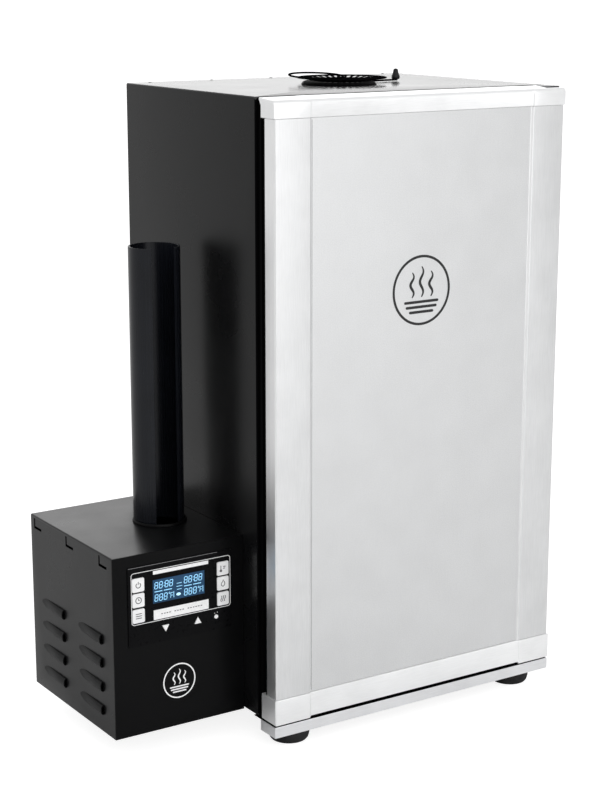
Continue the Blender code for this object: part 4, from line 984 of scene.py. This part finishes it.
def make_vent():
    slotted_disc()
    low, high = local("vent_lever")
    knob_low, knob_high = local("vent_knob")
    knob = plan_centre(knob_low, knob_high)
    centre = Vector(plan_centre(*local("vent_collar")))
    out = (Vector(knob) - centre).normalized()
    side = Vector((-out.y, out.x))
    start = centre + out * 0.0480
    end = Vector(knob)
    half = 0.0026
    outline = [tuple(start - side * half), tuple(end - side * half)]
    outline += [tuple(end + out * half * math.cos(a) + side * half * math.sin(a))
                for a in [math.radians(k) for k in range(-75, 76, 15)]]
    outline += [tuple(end + side * half), tuple(start + side * half)]
    arm = prism(outline, "Z", low.z, low.z + 0.0020)
    bmesh.ops.bevel(arm, geom=list(arm.edges), offset=0.0003, segments=2, affect="EDGES")
    post_place = start + out * 0.0035
    post = turned([(0, low.z + 0.0008), (0.0024, low.z + 0.0008), (0.0024, high.z - 0.0004), (0.0019, high.z),
                   (0, high.z)], (post_place.x, post_place.y, 0), 20)
    piece("vent_lever_arm", merged(arm, post), "vent", "damper", ("vent_lever",), sharp=40)
    base = knob_low.z
    profile = [(0, base), (0.0044, base), (0.0051, base + 0.0008), (0.0054, base + 0.0022), (0.0052, base + 0.0042),
               (0.0044, base + 0.0062), (0.0036, base + 0.0082), (0.0033, base + 0.0100), (0.0031, base + 0.0116),
               (0.0024, base + 0.0129), (0.0012, base + 0.0134), (0, base + 0.0135)]
    piece("vent_knob_turned", turned(profile, (*knob, 0), 32), "knob", "damper", ("vent_knob",), sharp=60)
    ring_low, ring_high = local("vent_ring")
    wire = 0.0012
    radius = (ring_high.x - ring_low.x) / 2 - wire
    tilt = math.radians(3.2)
    middle = Vector((*plan_centre(ring_low, ring_high), (ring_low.z + ring_high.z) / 2 + 0.0004))
    points = []
    for i in range(64):
        t = 2 * math.pi * i / 64
        points.append(middle + Vector((radius * math.cos(t), radius * math.sin(t) * math.cos(tilt),
                                       radius * math.sin(t) * math.sin(tilt))))
    piece("vent_ring_wire", rod(points, wire, 10, closed=True), "vent", "lifting_ring", ("vent_ring",),
          sharp=60)


# ---- Smoke generator -------------------------------------------------------------------------------------
def louvre_hood(y, z, side_x):
    """A pressed scoop: flush at its rear end, open at its front end, as a thin closed shell."""
    length, tall, proud, thick = 0.0620, 0.0128, 0.0040, 0.0009
    rear = y + length / 2
    stations = 12
    ring = 9
    sections = []
    for i in range(stations + 1):
        share = i / stations
        place = rear - length * share
        rise = 0.16 + 0.84 * (0.5 - 0.5 * math.cos(math.pi * min(1.0, share * 1.15)))
        half = tall / 2 * (math.sin(math.pi / 2 * min(1.0, 0.22 + share * 4.5)))
        outer, inner = [], []
        for k in range(ring + 1):
            a = math.pi * k / ring
            bulge = math.sin(a) ** 0.75
            outer.append((side_x - proud * rise * bulge, place, z + half * math.cos(a)))
            inner.append((side_x - max(0.0, proud * rise - thick) * bulge + 0.0006, place,
                          z + (half - thick * 0.9) * math.cos(a)))
        outer = [(side_x + 0.0006, place, z + half)] + outer + [(side_x + 0.0006, place, z - half)]
        sections.append(outer + list(reversed(inner)))
    return loft(sections)


def generator_hood():
    """The folded cover: top, left side and back, with open louvres and hanger slots."""
    low, high = local("generator_cover")
    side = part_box("generator_front")[0].x - HOME.x
    front, back, bottom, top = low.y, high.y, low.z, high.z
    right = high.x
    skin = 0.0012
    body = block((side, front, bottom), (right, back, top))
    corners = ({"x": side, "z": top}, {"x": side, "y": back}, {"y": back, "z": top})
    folds = [edge for edge in body.edges
             if any(all(abs(getattr(v.co, axis) - level) < NEAR for v in edge.verts for axis, level in corner.items())
                    for corner in corners)]
    bmesh.ops.bevel(body, geom=folds, offset=0.0018, segments=4, profile=0.5, affect="EDGES")
    inside = block((side + skin, -0.1, -0.1), (right + 0.1, back - skin, top - skin))
    tube_low, tube_high = local("feeder_tube")
    tube = plan_centre(tube_low, tube_high)
    mouth = prism(circle(tube, (tube_high.x - tube_low.x) / 2 + 0.0003, 64), "Z", top - 0.01, top + 0.01)
    inlet_low, inlet_high = local("generator_power_inlet")
    socket = block((inlet_low.x + 0.0055, back - 0.02, inlet_low.z + 0.0025),
                   (inlet_high.x - 0.0055, back + 0.02, inlet_high.z - 0.0025))
    hooks = []
    stroke = 0.0017
    for y in HANGER_SLOTS:
        head, foot = top - 0.0034, top - 0.0150
        outline = [(y - stroke, head), (y + stroke, head), (y + stroke, foot - stroke), (y - 0.0190, foot - stroke),
                   (y - 0.0190, foot + stroke), (y - stroke, foot + stroke)]
        hooks.append(prism(outline, "X", side - 0.01, side + 0.01))
    places = [(y, z) for y in LOUVRE_COLUMNS for z in LOUVRE_ROWS]
    holes, hoods = [], []
    for y, z in places:
        holes.append(prism(round_rect((y - 0.0310, z - 0.0048), (y - 0.0060, z + 0.0048), 0.0040, 4), "X", side - 0.01,
                           side + 0.01))
        hoods.append(louvre_hood(y, z, side))
    shell = carved(body, [inside, merged(mouth, socket, *hooks, *holes)])
    shell = carved(shell, [merged(*hoods)], "UNION")
    cover = piece("generator_cover_pressed", shell, "gen_paint", "generator", ("generator_cover",), sharp=28)
    # The hoods' faces, proud of the side, take a duller copy of the paint: painted shade.
    cover.data.materials.append(MATERIALS["hood_shade_paint"])
    for face in cover.data.polygons:
        if face.center.x < HOME.x + side - 0.0003:
            face.material_index = 1
    rear = [(x, back, z) for x in (side + 0.012, right - 0.012)
            for z in (bottom + 0.014, (bottom + top) / 2, top - 0.014)]
    piece("generator_rear_screws", screws(rear, (0, 1, 0), 0.0032, 0.0012), "dark", "generator")


def puck_tube():
    """The feeder tube: an open extrusion with thick lips and fine ribs beside its slot."""
    low, high = local("feeder_tube")
    centre = plan_centre(low, high)
    outer_radius = (high.x - low.x) / 2
    inner_radius = outer_radius - 0.0024
    left_lip, right_lip = -90 - 34, -90 + 28
    steps = 120
    outer, inner = [], []
    for i in range(steps + 1):
        turn = right_lip + (left_lip + 360 - right_lip) * i / steps
        from_left = (left_lip + 360) - turn
        groove = 0.0
        for at in (4.6, 8.6, 12.6):
            groove += math.exp(-((from_left - at) / 1.0) ** 2)
        from_right = turn - right_lip
        groove += math.exp(-((from_right - 5.0) / 1.2) ** 2)
        radius = outer_radius - 0.0006 * min(1.0, groove)
        outer.append((centre[0] + radius * math.cos(math.radians(turn)),
                      centre[1] + radius * math.sin(math.radians(turn))))
    for i in range(61):
        turn = left_lip + 360 - 2.4 - (left_lip + 360 - right_lip - 4.8) * i / 60
        inner.append((centre[0] + inner_radius * math.cos(math.radians(turn)),
                      centre[1] + inner_radius * math.sin(math.radians(turn))))

    def lip(at, sign):
        a = math.radians(at)
        out = Vector((math.cos(a), math.sin(a)))
        along = Vector((-out.y, out.x)) * sign
        base = Vector(centre)
        return [tuple(base + out * (inner_radius - 0.0012) + along * 0.0002),
                tuple(base + out * (inner_radius - 0.0016) + along * 0.0010),
                tuple(base + out * (inner_radius - 0.0010) + along * 0.0018)]

    outline = outer + lip(left_lip, -1) + inner + list(reversed(lip(right_lip, 1)))
    body = prism(outline, "Z", low.z, high.z)
    ends = [edge for edge in body.edges if abs(edge.verts[0].co.z - edge.verts[1].co.z) < SAME_LEVEL]
    bmesh.ops.bevel(body, geom=ends, offset=0.0003, segments=1, affect="EDGES")
    piece("feeder_tube_extruded", body, "tube", "feeder_tube", ("feeder_tube",), sharp=30)


def tube_ring():
    low, high = local("tube_collar")
    centre = (*plan_centre(low, high), 0)
    tube_low, tube_high = local("feeder_tube")
    inner = (tube_high.x - tube_low.x) / 2 + 0.0003
    outer = (high.x - low.x) / 2
    profile = [(inner, low.z), (inner, high.z - 0.0004), (inner + 0.0004, high.z), (inner + 0.0010, high.z),
               (inner + 0.0016, high.z - 0.0006), (outer, low.z + 0.0012), (outer, low.z)]
    piece("tube_collar_ring", turned(profile, centre, 72), "face_paint", "generator", ("tube_collar",), sharp=40)


SEGMENTS = {"a": ((0, 1), (1, 1)), "b": ((1, 1), (1, 0.5)), "c": ((1, 0.5), (1, 0)), "d": ((0, 0), (1, 0)),
            "e": ((0, 0.5), (0, 0)), "f": ((0, 1), (0, 0.5)), "g": ((0, 0.5), (1, 0.5))}


def digit(place, width, height, face, back, lit="abcdefg"):
    """One seven-segment figure, leaning a little to the right."""
    parts = []
    stroke = width * 0.19
    for name in lit:
        ends = []
        for u, v in SEGMENTS[name]:
            ends.append(Vector((place[0] + u * width + v * height * 0.10, place[1] + v * height)))
        ahead = (ends[1] - ends[0]).normalized()
        short = stroke * 0.62
        a, b = ends[0] + ahead * short, ends[1] - ahead * short
        tip_a, tip_b = ends[0] + ahead * stroke * 0.25, ends[1] - ahead * stroke * 0.25
        side = Vector((-ahead.y, ahead.x)) * stroke / 2
        outline = [tip_a, a - side, b - side, tip_b, b + side, a + side]
        parts.append(prism([tuple(p) for p in outline], "Y", face, back))
    return parts


def display_figures():
    """Lit figures of the display: two clocks, two temperatures, small rules and a smoke mark."""
    low, high = local("display")
    face, back = low.y - 0.00008, low.y + 0.00010
    wide, tall = high.x - low.x, high.z - low.z
    parts = []
    for start in (low.x + 0.0022, low.x + wide * 0.600):
        for column in range(4):
            x = start + column * FIGURE_STEP + (0.0016 if column > 1 else 0.0)
            parts += digit((x, low.z + tall * 0.615), FIGURE_WIDE, FIGURE_TALL, face, back)
        for rise in (0.30, 0.70):
            dot = (start + 0.0127 + rise * 0.0008, low.z + tall * 0.615 + FIGURE_TALL * rise)
            parts.append(prism(circle(dot, 0.00050, 10), "Y", face, back))
        for column in range(3):
            parts += digit((start + column * FIGURE_STEP, low.z + tall * 0.090), FIGURE_WIDE, FIGURE_TALL, face, back)
        parts.append(ribbon(circle((start + 0.0202, low.z + tall * 0.325), 0.0010, 14), 0.0005, face, back,
                            closed=True))
        parts += digit((start + 0.0215, low.z + tall * 0.100), 0.0030, 0.0066, face, back, "aefg")
        parts.append(plate((start + 0.0256, low.z + tall * 0.10), (start + 0.0263, low.z + tall * 0.36), face, back))
        for piece_start, long in ((0.0, 0.0105), (0.0125, 0.0110)):
            parts.append(plate((start + piece_start, low.z + tall * 0.475),
                               (start + piece_start + long, low.z + tall * 0.505), face, back))
    middle = low.x + wide * 0.5
    for row, long in enumerate((0.0062, 0.0078, 0.0070)):
        z = low.z + tall * (0.40 + 0.13 * row)
        parts.append(plate((middle - long / 2 + 0.0006, z), (middle + long / 2 + 0.0006, z + 0.0006), face, back))
    oval = [(middle - 0.0006 + 0.0030 * math.cos(t), low.z + tall * 0.20 + 0.0018 * math.sin(t))
            for t in [2 * math.pi * i / 24 for i in range(24)]]
    piece("display_figures", merged(*parts), "glow", "generator")
    piece("display_lamp", prism(oval, "Y", face, back), "glow_bright", "generator")


def panel_print():
    """White lines and blank labels printed on the control panel; a grey strip on its top edge is a painted highlight.
    """
    low, high = local("control_panel")
    face, back = low.y - 0.00015, low.y + 0.00010
    frame_low, frame_high = (low.x + 0.0045, low.z + 0.0275), (high.x - 0.0022, high.z - 0.0072)
    parts = [ribbon(round_rect(frame_low, frame_high, 0.0035, 6), 0.0007, face, back, closed=True)]
    parts.append(plate((-0.1262, 0.2299), (-0.0506, 0.2343), face, back))
    parts.append(plate((-0.1262, 0.1730), (-0.0506, 0.1852), face, back))
    led = front_centre(*local("status_led"))
    for dx in (-0.0020, 0.0018):
        parts.append(prism(circle((led[0] + dx, led[1] + 0.0050 + dx * 0.2), 0.00055, 10), "Y", face, back))
    piece("panel_print", merged(*parts), "white", "generator")
    # A grey strip along the panel's top edge: a painted highlight of the edge.
    rim = plate((low.x + 0.0008, high.z - 0.00075), (high.x - 0.020, high.z - 0.00035), face, back)
    piece("panel_rim_painted_highlight", rim, "rim_highlight_grey", "generator")
    rules = []
    for i in range(16):
        x = -0.1160 + i * 0.0036
        if i in (4, 9):
            continue
        rules.append(plate((x, 0.1787), (x + 0.0022, 0.1797), face - 0.00010, face + 0.00005))
    piece("panel_label_rule", merged(*rules), "dark_ink", "generator")


def key_mark(name, strokes):
    """A raised mark on one key; strokes are (points, closed) in shares of the key, from its middle."""
    low, high = local(name)
    face, back = low.y - 0.00012, low.y + 0.00010
    x, z = front_centre(low, high)
    size = 0.0050
    parts = []
    for points, closed in strokes:
        path = [(x + u * size, z + v * size) for u, v in points]
        parts.append(ribbon(path, 0.0009, face, back, closed=closed))
    piece(name + "_mark", merged(*parts), "dark_ink", name)


def make_key_marks():
    power = [(arc((0, -0.05), 0.62, 125, 415, 16), False), ([(0, 0.15), (0, 0.85)], False)]
    clock = [(circle((0, 0), 0.75, 20), True), ([(0, 0.45), (0, 0), (0.35, 0)], False)]
    rows = [([(-0.8, v), (0.8, v)], False) for v in (0.55, 0.0, -0.55)]
    heat = [([(-0.55, -0.75), (-0.55, 0.75)], False), (circle((-0.55, -0.55), 0.25, 12), True),
            ([(0.05, 0.45), (0.75, 0.45)], False), ([(0.05, 0.0), (0.60, 0.0)], False)]
    flame = [([(0, -0.8), (-0.5, -0.45), (-0.45, 0.05), (-0.1, 0.45), (0, 0.9), (0.35, 0.35), (0.5, -0.1),
               (0.42, -0.5)], True)]
    smoke = [([(u + 0.16 * math.sin(4.2 * v), v) for v in [k / 6 - 0.75 for k in range(10)]], False)
             for u in (-0.5, 0.0, 0.5)]
    marks = {"button_left_upper": power, "button_left_middle": clock, "button_left_lower": rows,
             "button_right_upper": heat, "button_right_middle": flame, "button_right_lower": smoke}
    for name, strokes in marks.items():
        key_mark(name, strokes)


def make_generator():
    generator_hood()
    puck_tube()
    tube_ring()
    display_figures()
    panel_print()
    make_key_marks()
    inlet_pins("generator_power_inlet", "generator")
    front = local("generator_front")[0].y
    badge("generator_badge", (-0.0920, 0.0887), 0.0215, front - 0.00020, "white", "generator")
    low, high = local("smoke_burner")
    x, y = plan_centre(low, high)
    rings = [turned([(r - 0.0010, high.z - 0.0004), (r - 0.0007, high.z + 0.0004), (r + 0.0007, high.z + 0.0004),
                     (r + 0.0010, high.z - 0.0004)], (x, y, 0), 48) for r in (0.008, 0.015, 0.022)]
    piece("smoke_burner_rings", merged(*rings), "dark", "generator")


# ---- Camera, light and floor -----------------------------------------------------------------------------
CAMERA_FROM_DOOR = Vector((-1.1015, -1.7475, 0.9277))    # from the door's lower left front corner, on the floor
CAMERA_HEADING = 33.015
CAMERA_PITCH = 13.261
CAMERA_LENS = 82.18
WORLD_BRIGHT_SIDE = (0.8385, -0.5449, 0.0)      # the direction from which the room is brightest
WORLD_DIM = 0.74
WORLD_BRIGHT = 0.80
FLOOR_GREY = 0.90       # how strongly the floor lights the object
FLOOR_WHITE = 0.85      # the floor's own glow, as the lens sees it


def add_camera():
    data = bpy.data.cameras.new("camera")
    data.sensor_width = 36.0
    data.lens = CAMERA_LENS
    camera = bpy.data.objects.new("camera", data)
    camera.location = HOME + CAMERA_FROM_DOOR
    camera.rotation_euler = (math.radians(90 - CAMERA_PITCH), 0.0, math.radians(-CAMERA_HEADING))
    bpy.context.scene.collection.objects.link(camera)
    bpy.context.scene.camera = camera


def add_area(name, place, target, width, height, power, colour=(1, 1, 1)):
    data = bpy.data.lights.new(name, "AREA")
    data.shape = "RECTANGLE"
    data.size = width
    data.size_y = height
    data.energy = power
    data.color = colour
    light = bpy.data.objects.new(name, data)
    light.location = place
    light.rotation_euler = (Vector(target) - Vector(place)).to_track_quat("-Z", "Y").to_euler()
    bpy.context.scene.collection.objects.link(light)


def add_world():
    """Bright on the right and behind, dim on the left, as in a small studio with its lamps on the right."""
    world = bpy.data.worlds.new("studio")
    world.use_nodes = True
    tree = world.node_tree
    background = tree.nodes["Background"]
    background.inputs["Color"].default_value = (1.0, 1.0, 1.0, 1.0)
    coordinates = tree.nodes.new("ShaderNodeTexCoord")
    toward = tree.nodes.new("ShaderNodeVectorMath")
    toward.operation = "DOT_PRODUCT"
    toward.inputs[1].default_value = WORLD_BRIGHT_SIDE
    tree.links.new(coordinates.outputs["Generated"], toward.inputs[0])
    ramp = tree.nodes.new("ShaderNodeMapRange")
    ramp.inputs["From Min"].default_value = -1.0
    ramp.inputs["From Max"].default_value = 1.0
    ramp.inputs["To Min"].default_value = WORLD_DIM
    ramp.inputs["To Max"].default_value = WORLD_BRIGHT
    tree.links.new(toward.outputs["Value"], ramp.inputs["Value"])
    tree.links.new(ramp.outputs["Result"], background.inputs["Strength"])
    bpy.context.scene.world = world


def add_floor():
    """White paper. It looks white to the lens, and it lights the object only as strongly as grey paper."""
    floor = bpy.data.meshes.new("floor")
    reach = 120.0
    floor.from_pydata([(-reach, -reach, 0), (reach, -reach, 0), (reach, reach, 0), (-reach, reach, 0)], [],
                      [(0, 1, 2, 3)])
    paper = Surface("floor_paper", (0.45, 0.45, 0.45), 0.9, Emission_Color=(1, 1, 1, 1),
                    Emission_Strength=FLOOR_WHITE)
    paper.vary_colour(paper.noise(3, detail=2.0), 0.995, 1.005)
    tree = paper.tree
    dim = paper.node("ShaderNodeBsdfDiffuse", {"Color": (FLOOR_GREY, FLOOR_GREY, FLOOR_GREY, 1.0)})
    seen = paper.node("ShaderNodeLightPath")
    mix = tree.nodes.new("ShaderNodeMixShader")
    tree.links.new(seen.outputs["Is Camera Ray"], mix.inputs[0])
    tree.links.new(dim.outputs[0], mix.inputs[1])
    tree.links.new(paper.shader.outputs[0], mix.inputs[2])
    tree.links.new(mix.outputs[0], tree.nodes["Material Output"].inputs["Surface"])
    floor.materials.append(paper.material)
    ground = bpy.data.objects.new("floor", floor)
    bpy.context.scene.collection.objects.link(ground)


def add_studio():
    scene = bpy.context.scene
    scene.view_settings.view_transform = "Standard"
    scene.view_settings.look = "None"
    add_world()
    add_floor()
    add_area("front_right", (0.55, -2.9, 1.2), (0, 0, 0.4), 2.4, 2.6, 17)
    add_area("front_left", (-1.3, -2.6, 1.9), (0, 0, 0.4), 1.2, 1.2, 10)
    add_area("rear_top", (1.7, 2.9, 1.75), (0, 0, 0.8), 2.6, 1.6, 16)


dress_nodes()
make_door()
make_cabinet()
make_vent()
make_generator()
add_camera()
add_studio()
